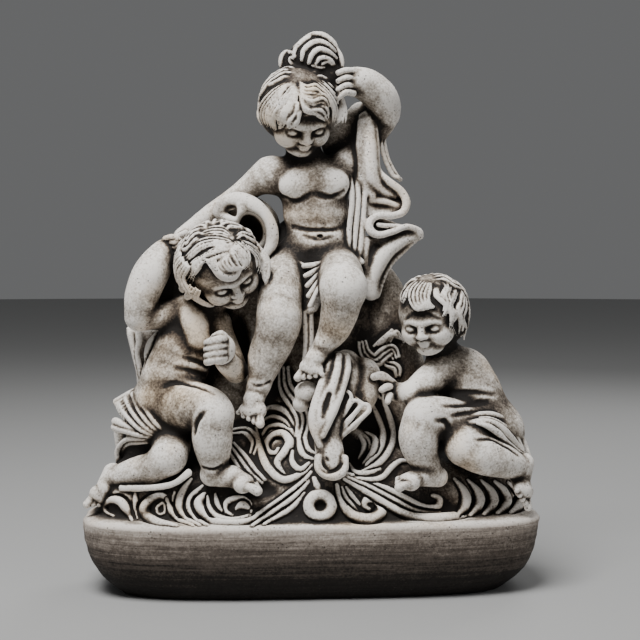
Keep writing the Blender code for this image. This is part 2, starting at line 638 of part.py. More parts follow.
def topknot(f):
    """A bun on the crown: thick strands swept over to the right and a curl that hangs to the left."""
    k = Place(at(1, 518, -10), rotation(0, 10, -10), 1.0)
    f.ball(k(0, 2, 0), BUN, k.axes, 2)
    f.ball(k(-20, 2, -5), (9, 6, 10), k.axes, 3)
    f.ball(k(15, -2, -13), (18, 14, 14), k.axes, 4)
    for strand in BUN_STRANDS:
        knots = smooth(np.array(strand, float), 6)
        f.tube([on_scalp(k, u, v, 0.0, BUN, (0, 2, 0)) for u, v, r in knots], knots[:, 2], 0.5)


def cloth_top():
    """The seated child's drapery: a strap down the side, the loincloth, the long fall to the right."""
    f = Form()
    folds(f, [(38, 402, -6), (40, 380, -12), (37, 350, -14), (36, 322, -18)],
          [(50, 402, 0), (52, 380, -8), (50, 350, -10), (46, 322, -14)], 3, (2.4, 2.8), 0.8)
    # loincloth over the left hip, round between the legs
    folds(f, [(46, 322, -16), (26, 322, -30), (8, 316, -36), (-8, 314, -34)],
          [(50, 318, -20), (32, 312, -44), (12, 300, -48), (-2, 274, -50)], 5, (2.2, 2.6), 0.8)
    folds(f, [(-22, 324, -18), (-8, 315, -30), (8, 317, -34)],
          [(-20, 321, -18), (-8, 312, -30), (8, 313, -34)], 2, 1.8, 0.8)
    sheet(f, [(-8, 312, -26), (-10, 290, -30), (-6, 268, -34)],
          [(12, 306, -30), (10, 290, -34), (2, 272, -38)], 4)
    # the hanging end
    folds(f, [(-7, 268, -36), (-6, 240, -34), (-9, 206, -40)],
          [(-1, 268, -36), (-1, 240, -34), (-4, 206, -40)], 2, (2.4, 2.8), 0.8)
    # long fall: out from under the raised arm, then turned over twice
    sheet(f, [(50, 462, 14), (49, 435, 6), (49, 412, 2), (52, 396, 0), (57, 384, 0)],
          [(62, 462, 16), (64, 432, 10), (64, 412, 6), (74, 400, 4), (88, 389, 8)], 3.6)
    limb(f, (56, 464, 12, 5), (56, 440, 4, 8), (56, 420, -1, 9), (59, 402, -3, 8.5), (68, 391, 0, 6),
         (82, 384, 4, 4), blend=5)
    limb(f, (50, 456, 8, 3), (48, 432, 1, 4), (48, 410, -4, 4), (53, 394, -5, 3.6), (60, 384, -4, 3),
         blend=5)
    limb(f, (62, 456, 10, 2.6), (64, 430, 4, 3), (65, 410, 0, 3.4), (75, 399, -2, 3.8), (88, 389, 0, 4.0),
         (94, 378, 0, 4.2), (91, 368, -2, 4.0), (80, 364, -6, 3.6), (66, 364, -10, 3.6),
         (58, 358, -12, 4.0), (58, 350, -14, 4.2), (66, 345, -14, 3.8), (80, 348, -10, 3.4),
         (94, 353, -3, 3.2), (106, 349, 5, 3.4), (108, 344, 8, 3.0), blend=4, steps=6)
    sheet(f, [(54, 386, 3), (56, 376, 4), (58, 366, 2)], [(88, 388, 9), (89, 378, 8), (84, 368, 4)], 4)
    limb(f, (60, 380, -1, 3.0), (74, 378, 0, 2.8), (86, 374, 3, 2.4), blend=4)
    sheet(f, [(60, 362, -4), (60, 352, -6), (60, 344, -8)], [(92, 352, 2), (96, 350, 2), (104, 346, 8)],
          3)
    limb(f, (66, 355, -10, 2.4), (74, 354, -9, 2.6), (86, 354, -5, 2.2), blend=2)
    sheet(f, [(52, 342, -6), (51, 326, -6), (53, 306, -6), (57, 286, -8)],
          [(104, 344, 10), (90, 330, 8), (74, 312, 4), (64, 286, -2)], 4.6)
    limb(f, (104, 345, 7, 3.4), (88, 338, 0, 6.0), (74, 328, -5, 8.0), (64, 313, -7, 8.5),
         (59, 298, -8, 7.5), (60, 286, -8, 5), blend=6)
    limb(f, (54, 338, -9, 3), (52, 320, -10, 3.6), (54, 300, -10, 3.2), (58, 288, -10, 2.4), blend=4)
    # the back edge
    folds(f, [(66, 452, 18), (71, 425, 18), (80, 405, 18), (86, 402, 18)],
          [(70, 448, 22), (75, 422, 22), (84, 404, 22), (88, 400, 22)], 2, 2.4, 1.0)
    return f


def jug():
    """A thick curled shell rim behind the kneeling child's head, dark inside."""
    f = Form()
    f.ball(at(-64, 350, 16), (33, 26, 34), rotation(0, 0, 8), 0)
    limb(f, (-92, 368, -10, 7), (-86, 376, -14, 8), (-73, 379, -17, 8.5), (-59, 374, -19, 8.5),
         (-48, 364, -19, 8), (-41, 351, -19, 7.5), (-40, 338, -19, 6.5), (-45, 327, -20, 5), blend=3,
         steps=4)
    # its left end is turned in as a flap
    limb(f, (-72, 377, -20, 5), (-70, 369, -23, 5), (-73, 360, -22, 3), blend=2)
    limb(f, (-91, 366, -13, 4.5), (-82, 361, -18, 4), (-73, 359, -21, 3), blend=2)
    return f


def left_putto():
    f = Form()
    mass(f, -146, 182, -16, (33, 33, 29), 0)
    mass(f, -138, 206, -22, (31, 29, 24), 10)
    mass(f, -130, 224, -20, (30, 26, 24), 10)
    mass(f, -122, 240, -16, (31, 25, 24), 10)
    limb(f, (-126, 274, -24, 11), (-118, 258, -36, 13.5), (-114, 242, -40, 11.5), blend=5)
    mass(f, -132, 262, -14, (20, 18, 16), 10)
    mass(f, -100, 258, -14, (18, 17, 15), 10)
    limb(f, (-112, 262, -16, 15), (-98, 282, -26, 15), blend=8)
    # raised arm: elbow out to the side, hand up at the back of the head, the hollow behind filled
    mass(f, -140, 290, -2, (24, 12, 26), 6)
    mass(f, -126, 304, -8, (24, 12, 26), 6)
    limb(f, (-134, 266, -20, 14), (-154, 264, -28, 13), (-172, 262, -32, 13), blend=6)
    limb(f, (-173, 263, -34, 14), (-170, 284, -36, 16.5), (-161, 306, -34, 17.5), (-149, 324, -26, 14.5),
         (-140, 334, -18, 10), blend=3)
    # the other arm: elbow low, fist held before the belly
    limb(f, (-96, 254, -20, 14), (-84, 228, -28, 12.5), (-76, 209, -38, 11.5), blend=7)
    limb(f, (-76, 209, -38, 11.5), (-84, 216, -56, 11), (-91, 228, -68, 10.5), blend=3)
    # bent leg: thigh forward, shin down
    limb(f, (-146, 174, -22, 27), (-126, 174, -44, 25), (-106, 172, -62, 21), (-98, 166, -68, 19),
         blend=9)
    limb(f, (-99, 162, -70, 19), (-100, 142, -68, 19.5), (-99, 126, -66, 16), (-99, 113, -66, 11),
         blend=5)
    # kneeling leg: knee forward on the water, shin back to the left
    limb(f, (-152, 168, -8, 24), (-142, 140, -34, 20), (-143, 124, -54, 18), blend=9)
    limb(f, (-146, 120, -58, 16), (-160, 112, -52, 15), (-178, 107, -44, 14.5), (-196, 102, -36, 11),
         blend=5)
    foot(f, at(-101, 104, -62), at(-50, 95, -80), (0.1, 0.1, -1), 1.15)
    foot(f, at(-200, 107, -30), at(-217, 71, -42), (-0.2, 0.6, -0.6), 0.98)
    for n in range(4):
        finger(f, [at(-146 + 2.2 * n, 341 - 5.0 * n, -28), at(-138 + 1.8 * n, 343 - 5.2 * n, -36),
                   at(-130 + 1.5 * n, 338 - 5.0 * n, -33)], 3.3, 0.4)
    f.ball(at(-92, 231, -77), (14.5, 12, 15), blend=3)
    for n in range(4):
        v = 241 - 6.4 * n
        finger(f, [at(-89, v, -86), at(-95, v - 1, -92), at(-102, v - 3, -89), at(-105, v - 4, -80)], 4.2,
               1.0)
    finger(f, [at(-86, 241, -80), at(-91, 246, -85), at(-98, 243, -86)], 3.8, 1.0)
    p = Place(at(-89, 312, -46), rotation(10, 42, 23), 1.08)
    head = Form()
    face(head, p)
    hair(head, p, 11, LEFT_LOCKS, hairline=20, low=-34, wave=13, thick=4.0, part=-25)
    # locks that stand out behind and fall past the cheek
    for n in range(5):
        start, end = -78 - 13 * n, -72 - 15 * n
        lock(head, p, [(start, 30, 4), (start - 6, 8, 6), (end, -10, 8), (end - 12, -26, 12)], 11, lift=2)
    for n in range(3):
        lock(head, p, [(-58 - 10 * n, 0, 4), (-66 - 10 * n, -20, 6), (-54 - 10 * n, -40, 6),
                       (-62 - 8 * n, -56, 6 + 2 * n)], 10, lift=2)
    f.merge(head, 3)
    return f


def cloth_left():
    """The kneeling child's drapery: a ragged fall below the raised arm and an open swag round the hips."""
    f = Form()
    edge = [(-182, 250, -6), (-178, 232, -4), (-173, 210, -2), (-171, 194, 0)]
    inner = [(-148, 248, -14), (-156, 226, -12), (-165, 208, -10), (-168, 194, -8)]
    sheet(f, [(u, v, y + 10) for u, v, y in edge], [(u, v, y + 12) for u, v, y in inner], 4)
    limb(f, (-182, 248, -6, 2.6), (-179, 232, -5, 2.4), (-175, 214, -3, 2.4), (-172, 198, -1, 2.2),
         blend=0.5)
    limb(f, (-173, 247, -9, 3.4), (-173, 238, -10, 3.2), (-175, 228, -9, 2.4), (-173, 216, -7, 2.6),
         (-171, 202, -5, 2.0), blend=0.5)
    limb(f, (-155, 245, -13, 3.4), (-161, 236, -14, 4.6), (-163, 226, -14, 5.2), (-163, 218, -13, 4.6),
         (-167, 208, -10, 3.4), (-170, 197, -6, 2.0), blend=0.5)
    limb(f, (-147, 247, -13, 2.4), (-152, 238, -15, 2.6), (-155, 228, -15, 2.4), (-157, 218, -14, 1.4),
         blend=0.5)
    # swag: bands that gather under the thigh
    gather = (-143, 142, -46)
    sheet(f, [(-172, 192, -20), (-168, 176, -36), (-156, 156, -46), gather],
          [(-196, 178, -4), (-186, 162, -24), (-166, 148, -42), gather], 3.4)
    folds(f, [(-172, 190, -26), (-166, 172, -42), (-156, 156, -50), gather],
          [(-192, 176, -10), (-184, 162, -30), (-168, 148, -46), gather], 4, (3.4, 2.2), 0.8)
    folds(f, [(-197, 158, -6), (-186, 154, -26), (-168, 147, -42), gather],
          [(-198, 152, -8), (-184, 148, -30), (-168, 144, -44), gather], 2, (4.0, 2.2), 0.8)
    folds(f, [(-194, 118, -4), (-195, 130, -10), (-186, 140, -24), (-166, 141, -40), gather],
          [(-190, 116, 0), (-190, 128, -6), (-183, 136, -20), (-166, 138, -38), gather], 2, (3.0, 2.4),
          0.8)
    sheet(f, [(-196, 156, 10), (-194, 136, 14), (-190, 116, 14)],
          [(-150, 150, 0), (-150, 132, 4), (-150, 116, 8)], 4)
    # a thin fold the kneeling leg rests on
    folds(f, [(-192, 92, -50), (-166, 92, -62), (-140, 96, -66), (-124, 108, -62)],
          [(-192, 90, -50), (-166, 90, -62), (-140, 94, -66), (-122, 106, -62)], 2, 2.2, 0.8)
    return f


def right_putto():
    f = Form()
    mass(f, 176, 150, 0, (34, 34, 32), 0)
    mass(f, 168, 172, -4, (28, 28, 24), 12)
    mass(f, 158, 192, -6, (30, 27, 25), 12)
    mass(f, 146, 208, -4, (31, 25, 25), 12)
    mass(f, 134, 214, -10, (18, 17, 15), 10)
    mass(f, 152, 212, 2, (18, 17, 16), 10)
    limb(f, (136, 220, -8, 16), (126, 240, -14, 16), blend=8)
    # arm to the dolphin's back
    limb(f, (130, 210, -18, 16.5), (112, 196, -34, 14), (98, 186, -46, 10), blend=8)
    limb(f, (98, 187, -44, 10), (86, 188, -34, 9), (76, 192, -30, 8), blend=4)
    # raised knee
    limb(f, (166, 150, -10, 24), (146, 158, -34, 21), (126, 163, -52, 20), (114, 162, -60, 19), blend=9)
    limb(f, (111, 161, -62, 19), (107, 142, -62, 19.5), (110, 126, -58, 16), (118, 112, -54, 11), blend=5)
    # folded leg
    limb(f, (184, 148, -8, 28), (166, 146, -34, 22), (152, 137, -56, 19), blend=9)
    limb(f, (153, 131, -60, 18), (172, 124, -58, 19), (192, 118, -50, 16.5), (208, 112, -40, 11.5),
         blend=4)
    foot(f, at(126, 102, -50), at(82, 98, -74), (0, 0.2, -1), 1.08, big=1)
    foot(f, at(213, 116, -34), at(209, 74, -48), (0.5, -0.5, 0), 1.05)
    finger(f, [at(80, 196, -32), at(70, 204, -42), at(62, 203, -48)], 5.0, 0.4)
    finger(f, [at(82, 189, -30), at(76, 193, -44), at(70, 190, -50)], 4.6, 0.4)
    finger(f, [at(84, 182, -32), at(78, 184, -44), at(76, 178, -50)], 4.2, 0.4)
    p = Place(at(120, 262, -26), rotation(-30, 15, 3), 1.02)
    head = Form()
    face(head, p)
    hair(head, p, 5, RIGHT_LOCKS, hairline=24, low=-34, wave=12, thick=3.4, part=-20)
    f.merge(head, 3)
    return f


def cloth_right():
    """Folds of cloth round the sitting child's hips."""
    f = Form()
    limb(f, (149, 159, -48, 2.6), (162, 163, -48, 3.2), (172, 165, -45, 3.6), (184, 164, -38, 3.4),
         (194, 158, -27, 3.0), (203, 149, -22, 3.0), (213, 137, -16, 2.6), (219, 121, -14, 2.2),
         blend=0.6)
    limb(f, (168, 162, -52, 1.4), (177, 161, -50, 2.4), (187, 157, -43, 2.6), (197, 150, -32, 2.4),
         (206, 140, -26, 2.2), (213, 128, -22, 1.6), blend=0.6)
    limb(f, (148, 155, -56, 2.0), (158, 156, -58, 3.0), (172, 158, -57, 3.6), (184, 155, -51, 3.8),
         (195, 147, -44, 3.6), (205, 136, -34, 2.8), (212, 126, -28, 2.0), blend=0.6)
    limb(f, (166, 156, -61, 1.6), (177, 153, -60, 3.0), (187, 146, -56, 3.4), (194, 138, -51, 3.0),
         (202, 132, -42, 2.4), (210, 126, -34, 1.6), blend=0.6)
    return f


def dolphin():
    """The dolphin comes down off the rock head first, snout on the water."""
    f = Form()
    # smooth side of the body, the head's crown, and the snout below it
    limb(f, (52, 206, -22, 16), (51, 192, -33, 17), (46, 177, -44, 15), (36, 160, -56, 12), blend=6)
    limb(f, (34, 216, -24, 14), (32, 200, -40, 17), (25, 180, -54, 18), (17, 160, -62, 17),
         (16, 142, -68, 13.5), (18, 124, -75, 13.5), (21, 111, -78, 10.5), blend=4)
    f.ball(at(27, 219, -42), (13, 10, 9), blend=5)
    # brow plate, broad above and drawn to a point on the snout
    limb(f, (28, 220, -46, 8), (25, 206, -58, 9), (20, 190, -68, 9.5), (12, 170, -76, 9.5),
         (8, 154, -79, 7.5), (8, 138, -80, 4), blend=3)
    f.ball(at(-5, 188, -52), (12, 11, 10.5), blend=3)
    f.ball(at(-11, 176, -50), (8, 9, 8), blend=3)
    limb(f, (20, 223, -50, 4.4), (15, 207, -62, 4.8), (9, 190, -71, 5.0), (2, 168, -79, 5.0),
         (2, 151, -81, 4.4), (8, 134, -83, 2.6), blend=3)
    limb(f, (34, 223, -48, 4.2), (35, 210, -60, 4.4), (30, 192, -70, 4.2), (24, 174, -79, 4.0),
         (17, 158, -83, 3.4), (11, 144, -84, 2.4), blend=3)
    limb(f, (27, 224, -53, 3.6), (25, 208, -66, 3.6), (20, 190, -76, 2.6), blend=3)
    # fin: three scallop loops, each a rim round a hollow
    sheet(f, [(16, 152, -70), (26, 170, -67), (33, 188, -60)],
          [(26, 140, -72), (44, 156, -67), (57, 171, -60)], 2.6)
    for (au, av), (tu, tv), r in (((34, 183), (20, 152), 5.4), ((44, 175), (22, 147), 4.6),
                                  ((53, 171), (26, 142), 4.6)):
        along = np.array([au - tu, av - tv]) / math.hypot(au - tu, av - tv)
        left = np.array([-along[1], along[0]])
        rim = []
        for forward, out in ((-1.0, 0.1), (-0.4, 0.75), (0, 1.0), (0.6, 0.75), (1.0, 0), (0.6, -0.75),
                             (0, -1.0), (-0.4, -0.75), (-1.0, -0.1)):
            span = math.hypot(au - tu, av - tv) if forward < 0 else r
            q = np.array([au, av]) + along * forward * span + left * out * r
            rim.append((*q, -76 + 0.18 * (q[1] - 142) + (4 if forward <= -1 else 0), 2.0))
        p, r3 = path(*rim, steps=4)
        f.tube(p, r3, 0.6)
    # snout: two lips with the mouth between, a nostril
    limb(f, (6, 122, -86, 3.4), (7, 111, -88, 4.2), (14, 104, -89, 4.2), (24, 103, -88, 4.2),
         (32, 109, -86, 4.2), (33, 121, -82, 3.4), blend=3)
    return f


RIBBONS = (
    # hooks and leaves of the front row, from the left end to the ring
    ((-181, 58, 1.4), (-184, 64, 2.8), (-187, 71, 3.8), (-193, 78, 3.6), (-202, 79, 2.8), (-208, 73, 2.2),
     (-206, 66, 1.8), (-199, 62, 1.4)),
    ((-178, 86, 1.2), (-177, 74, 2.6), (-175, 60, 1.2)),
    ((-136, 52, 1.5), (-153, 55, 3.4), (-165, 61, 4.4), (-169, 70, 4.4), (-164, 78, 3.6), (-155, 83, 3.0),
     (-148, 82, 2.4), (-145, 75, 1.6)),
    ((-146, 80, 1.4), (-143, 70, 3.2), (-134, 60, 3.4), (-120, 53, 1.4)),
    ((-150, 76, 1.3), (-156, 71, 1.6), (-154, 64, 1.6), (-148, 66, 1.6), (-148, 74, 1.3)),
    ((-138, 87, 1.2), (-138, 79, 2.4), (-135, 71, 1.2)),
    ((-121, 100, 1.6), (-129, 89, 3.0), (-133, 78, 3.6), (-132, 67, 3.4), (-124, 58, 2.8),
     (-113, 53, 1.4)),
    ((-110, 93, 1.4), (-121, 82, 3.0), (-123, 70, 3.4), (-116, 59, 2.8), (-106, 53, 1.4)),
    ((-1, 107, 1.4), (-12, 94, 2.4), (-25, 84, 2.6), (-41, 72, 2.8), (-61, 59, 3.4), (-84, 54, 4.2),
     (-98, 58, 4.8), (-110, 67, 4.8), (-114, 76, 4.4), (-108, 84, 2.6)),
    ((-3, 98, 1.2), (-14, 85, 2.4), (-28, 74, 2.6), (-44, 63, 2.6), (-60, 53, 1.6)),
    ((-8, 86, 1.2), (-18, 73, 2.2), (-32, 63, 2.6), (-48, 54, 1.6)),
    ((-105, 83, 1.2), (-103, 71, 2.6), (-94, 61, 3.2), (-76, 59, 2.4), (-60, 64, 1.6)),
    ((-61, 66, 1.2), (-63, 76, 2.0), (-73, 81, 2.6), (-85, 77, 2.8), (-87, 68, 2.4), (-80, 63, 1.6)),
    ((-76, 70, 1.4), (-70, 74, 3.4), (-64, 71, 2.0)),
    ((-97, 85, 1.2), (-95, 75, 2.4), (-90, 67, 1.4)),
    ((2, 100, 2.2), (5, 93, 3.0), (7, 86, 2.4)),
    # the curl right of the ring and the long streams to the right end
    ((25, 94, 1.8), (29, 79, 3.6), (39, 64, 4.4), (55, 59, 4.8), (67, 63, 4.8), (70, 72, 4.4),
     (64, 80, 4.0), (56, 80, 3.2), (52, 74, 2.6), (57, 69, 2.0)),
    ((30, 92, 1.2), (35, 80, 2.4), (45, 68, 1.2)),
    ((34, 92, 1.2), (40, 83, 2.2), (48, 74, 1.2)),
    ((32, 100, 1.6), (59, 84, 3.0), (85, 68, 3.6), (105, 60, 4.2), (137, 60, 4.6), (161, 66, 2.4)),
    ((37, 105, 1.6), (56, 96, 2.6), (76, 89, 2.8), (98, 78, 3.0), (113, 70, 3.6), (125, 71, 3.6),
     (128, 79, 3.0), (121, 83, 1.8)),
    ((36, 102, 1.2), (60, 91, 2.0), (86, 77, 2.2), (106, 67, 2.4), (128, 66, 1.6)),
    # left of the snout: the great scroll, its hooks, the arcs above it
    ((-28, 104, 1.6), (-35, 116, 3.0), (-28, 126, 3.8), (-22, 136, 4.2), (-28, 145, 3.8), (-39, 144, 3.2),
     (-46, 136, 2.8), (-44, 128, 2.6), (-37, 126, 2.2), (-34, 131, 1.8)),
    ((-50, 144, 1.4), (-44, 152, 2.2), (-33, 154, 2.4), (-22, 150, 2.2), (-16, 140, 1.4)),
    ((-56, 152, 1.4), (-52, 130, 3.0), (-44, 111, 3.4), (-30, 99, 3.2), (-14, 103, 2.8), (-1, 114, 1.6)),
    ((-20, 128, 1.4), (-20, 117, 2.4), (-12, 109, 2.4), (-3, 116, 1.4)),
    ((-13, 160, 1.4), (-13, 139, 2.6), (-9, 124, 2.6), (1, 120, 1.4)),
    ((-3, 152, 1.2), (-7, 141, 2.2), (-4, 130, 2.2), (4, 125, 1.2)),
    ((-56, 160, 1.4), (-47, 169, 2.6), (-36, 172, 2.8), (-25, 167, 2.6), (-17, 153, 1.4)),
    ((-54, 153, 1.2), (-46, 160, 2.0), (-37, 163, 2.2), (-27, 158, 2.0), (-22, 152, 1.2)),
    # right of the snout
    ((70, 182, 1.6), (78, 161, 2.8), (81, 140, 3.0), (74, 123, 2.8), (60, 111, 2.4), (40, 104, 1.4)),
    ((59, 178, 1.6), (67, 159, 2.8), (71, 143, 3.2), (66, 128, 3.0), (55, 114, 1.6)),
    ((54, 147, 1.2), (63, 140, 2.6), (62, 128, 2.6), (52, 115, 1.4)),
    ((48, 144, 1.2), (53, 133, 2.2), (47, 120, 1.2)),
    ((37, 116, 1.2), (43, 107, 2.2), (56, 106, 2.2), (68, 110, 1.2)),
    ((46, 101, 1.2), (60, 99, 2.2), (71, 102, 2.4), (79, 111, 2.4), (89, 118, 2.2), (99, 117, 1.4)),
)


def water(stone, ground):
    """Streams from under the dolphin's mouth, curling into scrolls over the whole mound."""
    w = Form()
    for knots in RIBBONS:
        ribbon(w, stone, ground, *knots)
    ring = np.array([(8 + 11.5 * math.cos(t), 73 + 11.5 * math.sin(t)) for t in np.linspace(0,
            2 * math.pi, 25)])
    w.tube(drape(ground, ring, 2.0), 5.4, 1.0)
    for n in range(5):
        u = 143 + 13.5 * n
        ribbon(w, stone, ground, (u, 100 - n, 1.4), (u + 10, 87, 3.6), (u + 12, 74, 4.6),
               (u + 3, 62 + 0.8 * n, 2.0))
    # under the left knees
    stream(w, ground, [(-50, 96), (-62, 106), (-72, 120), (-82, 134)], 3, 6.0)
    stream(w, ground, [(-80, 148), (-66, 148), (-57, 138), (-60, 126)], 2, 5.6)
    # down the left of the dolphin
    stream(w, ground, [(-28, 212), (-26, 192), (-16, 176), (-9, 160), (-12, 142)], 3, 6.0)
    # foam under the sitting child's chin
    stream(w, ground, [(50, 238), (53, 226), (63, 219), (72, 226), (80, 230), (84, 222)], 3, 5.0)
    for n in range(5):
        stream(w, ground, [(62 + 4 * n, 234 + n), (72 + 3 * n, 242 + 1.5 * n - 2 * (n % 2)),
                           (80 + 3 * n, 250 - 3 * n)], 1)
    stream(w, ground, [(74, 216), (84, 212), (86, 204)], 2, 5.0)
    stream(w, ground, [(58, 204), (66, 190), (70, 182)], 2, 5.0)
    stone.merge(w, 0.8)


def with_hull(form):
    """The form's pieces and the plinth in one bmesh."""
    body = form.gather()
    form.free()
    plinth_mesh = bpy.data.meshes.new("plinth")
    base = hull()
    base.to_mesh(plinth_mesh)
    base.free()
    body.from_mesh(plinth_mesh)
    bpy.data.meshes.remove(plinth_mesh)
    return body


def ground_tree():
    """The mound and plinth that the water lies on."""
    form = Form()
    core(form)
    mesh = skinned(with_hull(form), "ground", GROUND_VOXEL, 5)
    tree = BVHTree.FromPolygons([v.co.copy() for v in mesh.vertices],
                                [tuple(p.vertices) for p in mesh.polygons])
    bpy.data.meshes.remove(mesh)
    return tree


def casting_mesh():
    """Everything as one skin, thinned to the wanted number of triangles."""
    form = Form()
    core(form)
    water(form, ground_tree())
    for maker in (jug, dolphin, top_putto, left_putto, right_putto, cloth_top, cloth_left, cloth_right):
        form.merge(maker())
    mesh = skinned(with_hull(form), "skin", VOXEL, SMOOTHING)
    largest_body(mesh)
    item = bpy.data.objects.new("skin", mesh)
    bpy.context.scene.collection.objects.link(item)
    thin = item.modifiers.new("facets", "DECIMATE")
    thin.decimate_type = "COLLAPSE"
    thin.ratio = TRIANGLES / (2 * len(mesh.polygons))
    thin.use_collapse_triangulate = True
    thinned = bpy.data.meshes.new_from_object(item.evaluated_get(bpy.context.evaluated_depsgraph_get()))
    bpy.data.objects.remove(item)
    bpy.data.meshes.remove(mesh)
    return thinned


def cut_flat(mesh):
    """Cuts the casting flat at the ground and sets it squarely over the origin."""
    bm = bmesh.new()
    bm.from_mesh(mesh)
    everything = bm.verts[:] + bm.edges[:] + bm.faces[:]
    cut = bmesh.ops.bisect_plane(bm, geom=everything, dist=1e-7, plane_co=(0, 0, GROUND * MM),
                                 plane_no=(0, 0, 1),
                                 clear_inner=True)
    rim_edges = [e for e in cut["geom_cut"] if isinstance(e, bmesh.types.BMEdge)]
    bmesh.ops.holes_fill(bm, edges=rim_edges, sides=0)
    bmesh.ops.triangulate(bm, faces=bm.faces[:])
    bmesh.ops.recalc_face_normals(bm, faces=bm.faces[:])
    for axis in (0, 1):
        places = [v.co[axis] for v in bm.verts]
        middle = (max(places) + min(places)) / 2
        for v in bm.verts:
            v.co[axis] -= middle
    for v in bm.verts:
        v.co[2] -= GROUND * MM
    bm.to_mesh(mesh)
    bm.free()


def concrete():
    material = bpy.data.materials.new("weathered concrete")
    material.use_nodes = True
    surface = material.node_tree.nodes["Principled BSDF"]
    surface.inputs["Base Color"].default_value = CONCRETE
    surface.inputs["Roughness"].default_value = ROUGHNESS
    surface.inputs["Metallic"].default_value = 0.0
    return material


for stray in list(bpy.data.objects):
    bpy.data.objects.remove(stray)

collection = bpy.data.collections.new("angel statue")
bpy.context.scene.collection.children.link(collection)

mesh = casting_mesh()
cut_flat(mesh)
mesh.name = "angel_statue"
mesh.materials.append(concrete())
casting = bpy.data.objects.new("angel_statue", mesh)
collection.objects.link(casting)
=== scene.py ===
"""Looks of the garden statue: concrete with a weathered dark wash, painted shade in its deep recesses and
painted light on its upward faces, carved finer than the solid, on a pale floor.

The forms are blended as a grid of distances in millimetres, from the same layout as the solid. Figures are
set out on the front elevation: u to the right of the centre line, v up from the ground, y behind the middle
plane. The skin of that grid is the one piece shown here, and it stands for the CAD node.
"""
import math

import bmesh
import bpy
import numpy as np
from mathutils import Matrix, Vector


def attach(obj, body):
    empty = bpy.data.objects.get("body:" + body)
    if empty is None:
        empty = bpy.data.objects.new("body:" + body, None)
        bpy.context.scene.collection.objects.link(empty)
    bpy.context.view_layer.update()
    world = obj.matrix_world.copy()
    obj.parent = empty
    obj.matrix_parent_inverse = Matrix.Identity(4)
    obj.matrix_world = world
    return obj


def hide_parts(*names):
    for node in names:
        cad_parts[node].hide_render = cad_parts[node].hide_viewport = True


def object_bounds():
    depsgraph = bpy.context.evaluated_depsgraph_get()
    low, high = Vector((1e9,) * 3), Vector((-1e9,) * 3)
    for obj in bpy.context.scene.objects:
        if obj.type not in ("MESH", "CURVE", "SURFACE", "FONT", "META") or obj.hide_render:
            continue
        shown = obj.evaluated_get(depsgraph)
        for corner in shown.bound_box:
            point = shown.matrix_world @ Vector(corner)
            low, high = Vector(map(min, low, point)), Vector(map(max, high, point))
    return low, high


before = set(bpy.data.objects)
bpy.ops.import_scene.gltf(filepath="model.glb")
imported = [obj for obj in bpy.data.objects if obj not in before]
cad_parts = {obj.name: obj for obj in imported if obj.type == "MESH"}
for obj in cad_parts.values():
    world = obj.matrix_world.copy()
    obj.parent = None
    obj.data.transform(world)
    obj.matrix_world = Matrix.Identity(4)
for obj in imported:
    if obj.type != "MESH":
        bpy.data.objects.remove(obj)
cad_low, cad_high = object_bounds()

MM = 0.001
NODE = "angel_statue"

# Grid and skin, millimetres
CELL = 1.1
TRIANGLES = 198000
FAR = 30.0
MARGIN = 4.0
STONE_LOW = (-236.0, -125.0, -12.0)
STONE_HIGH = (240.0, 100.0, 556.0)

# Noise worked into the skin: spacing and depth in millimetres, and the seed
ROUGHENING = ((22.0, 0.45, 1), (6.0, 0.18, 2))

# How far the skin keeps inside the CAD solid's box, millimetres
CLEARANCE = 0.15

# The plinth, millimetres, and how square its plan is
LENGTH = 454.0
DEPTH = 190.0
RIM = 70.0
RIM_ROUND = 5.0
PLAN_POWER = 3.4

# Where the flat underside is on the front elevation
GROUND = -6.0

# The studio: each lamp's name, place in metres, size and watts; what they face; the sky; the floor
LAMPS = (("key", (-0.6, -1.0, 2.2), 1.1, 84), ("fill", (1.7, -1.2, 0.7), 1.6, 4),
         ("rim", (0.9, 1.5, 1.5), 1.0, 12))
LAMP_TARGET = (0, 0, 0.27)
SKY_COLOUR = (0.80, 0.81, 0.82)
SKY_STRENGTH = 0.17
FLOOR_COLOUR = (0.36, 0.36, 0.355)

# How far round a point the wash and painted shade look at the form, millimetres: fine, middling and deep
REACHES = (1.5, 4.5, 14.0)

# The wash and painted shade: its even part, its growth with each reach's hollowness, the deep reach's wash
# and painted shade in recesses between the figures and its lifting on open faces, and what an upward face
# loses as painted light from above
WASH_EVEN = 0.45
WASH_FINE = 4.8
WASH_MIDDLE = 2.0
DEEP_WASH_AND_SHADE = 2.4
OPEN_WASH_AND_SHADE = 0.60
UPWARD_PAINTED_LIGHT = 0.07

# The wash that hair holds besides, evenly and with its fine hollows
HAIR_WASH = 0.30
HAIR_FINE = 3.4

# Half axes of the topknot and of a head with its hair, where hair is looked for
TOPKNOT_REACH = np.array([34, 30, 30])
HAIR_REACH = np.array([40, 44, 42])

# Half axes of a head's scalp, and a strand's radius as a share of the strands' spacing
SCALP = np.array([30.0, 33.0, 30.0])
STRAND = 0.62

# How much broader a ridge of water is than its drawn radius, and the lowest v its edge reaches
BREADTH = 1.2
WATERLINE = 51.0

# The y between which the surface that water lies on is looked for
DRAPE_FROM = -120.0
DRAPE_TO = 90.0

# A ridge of water has its crest this way from its middle, in radii
CREST = np.array([-0.07, -0.9, 0.45])

# The photograph's eye: distance, height, its turn to the left, and what the middle of the picture shows
VIEW_DISTANCE = 1500.0
VIEW_HEIGHT = 330.0
VIEW_YAW = math.radians(4.0)
PICTURE_MIDDLE = (8.0, 260.0)
PICTURE_WIDTH = 640.0


def smooth_min(a, b, blend):
    if blend <= 0:
        return np.minimum(a, b)
    overlap = np.maximum(blend - np.abs(a - b), 0)
    return np.minimum(a, b) - overlap * overlap * (0.25 / blend)


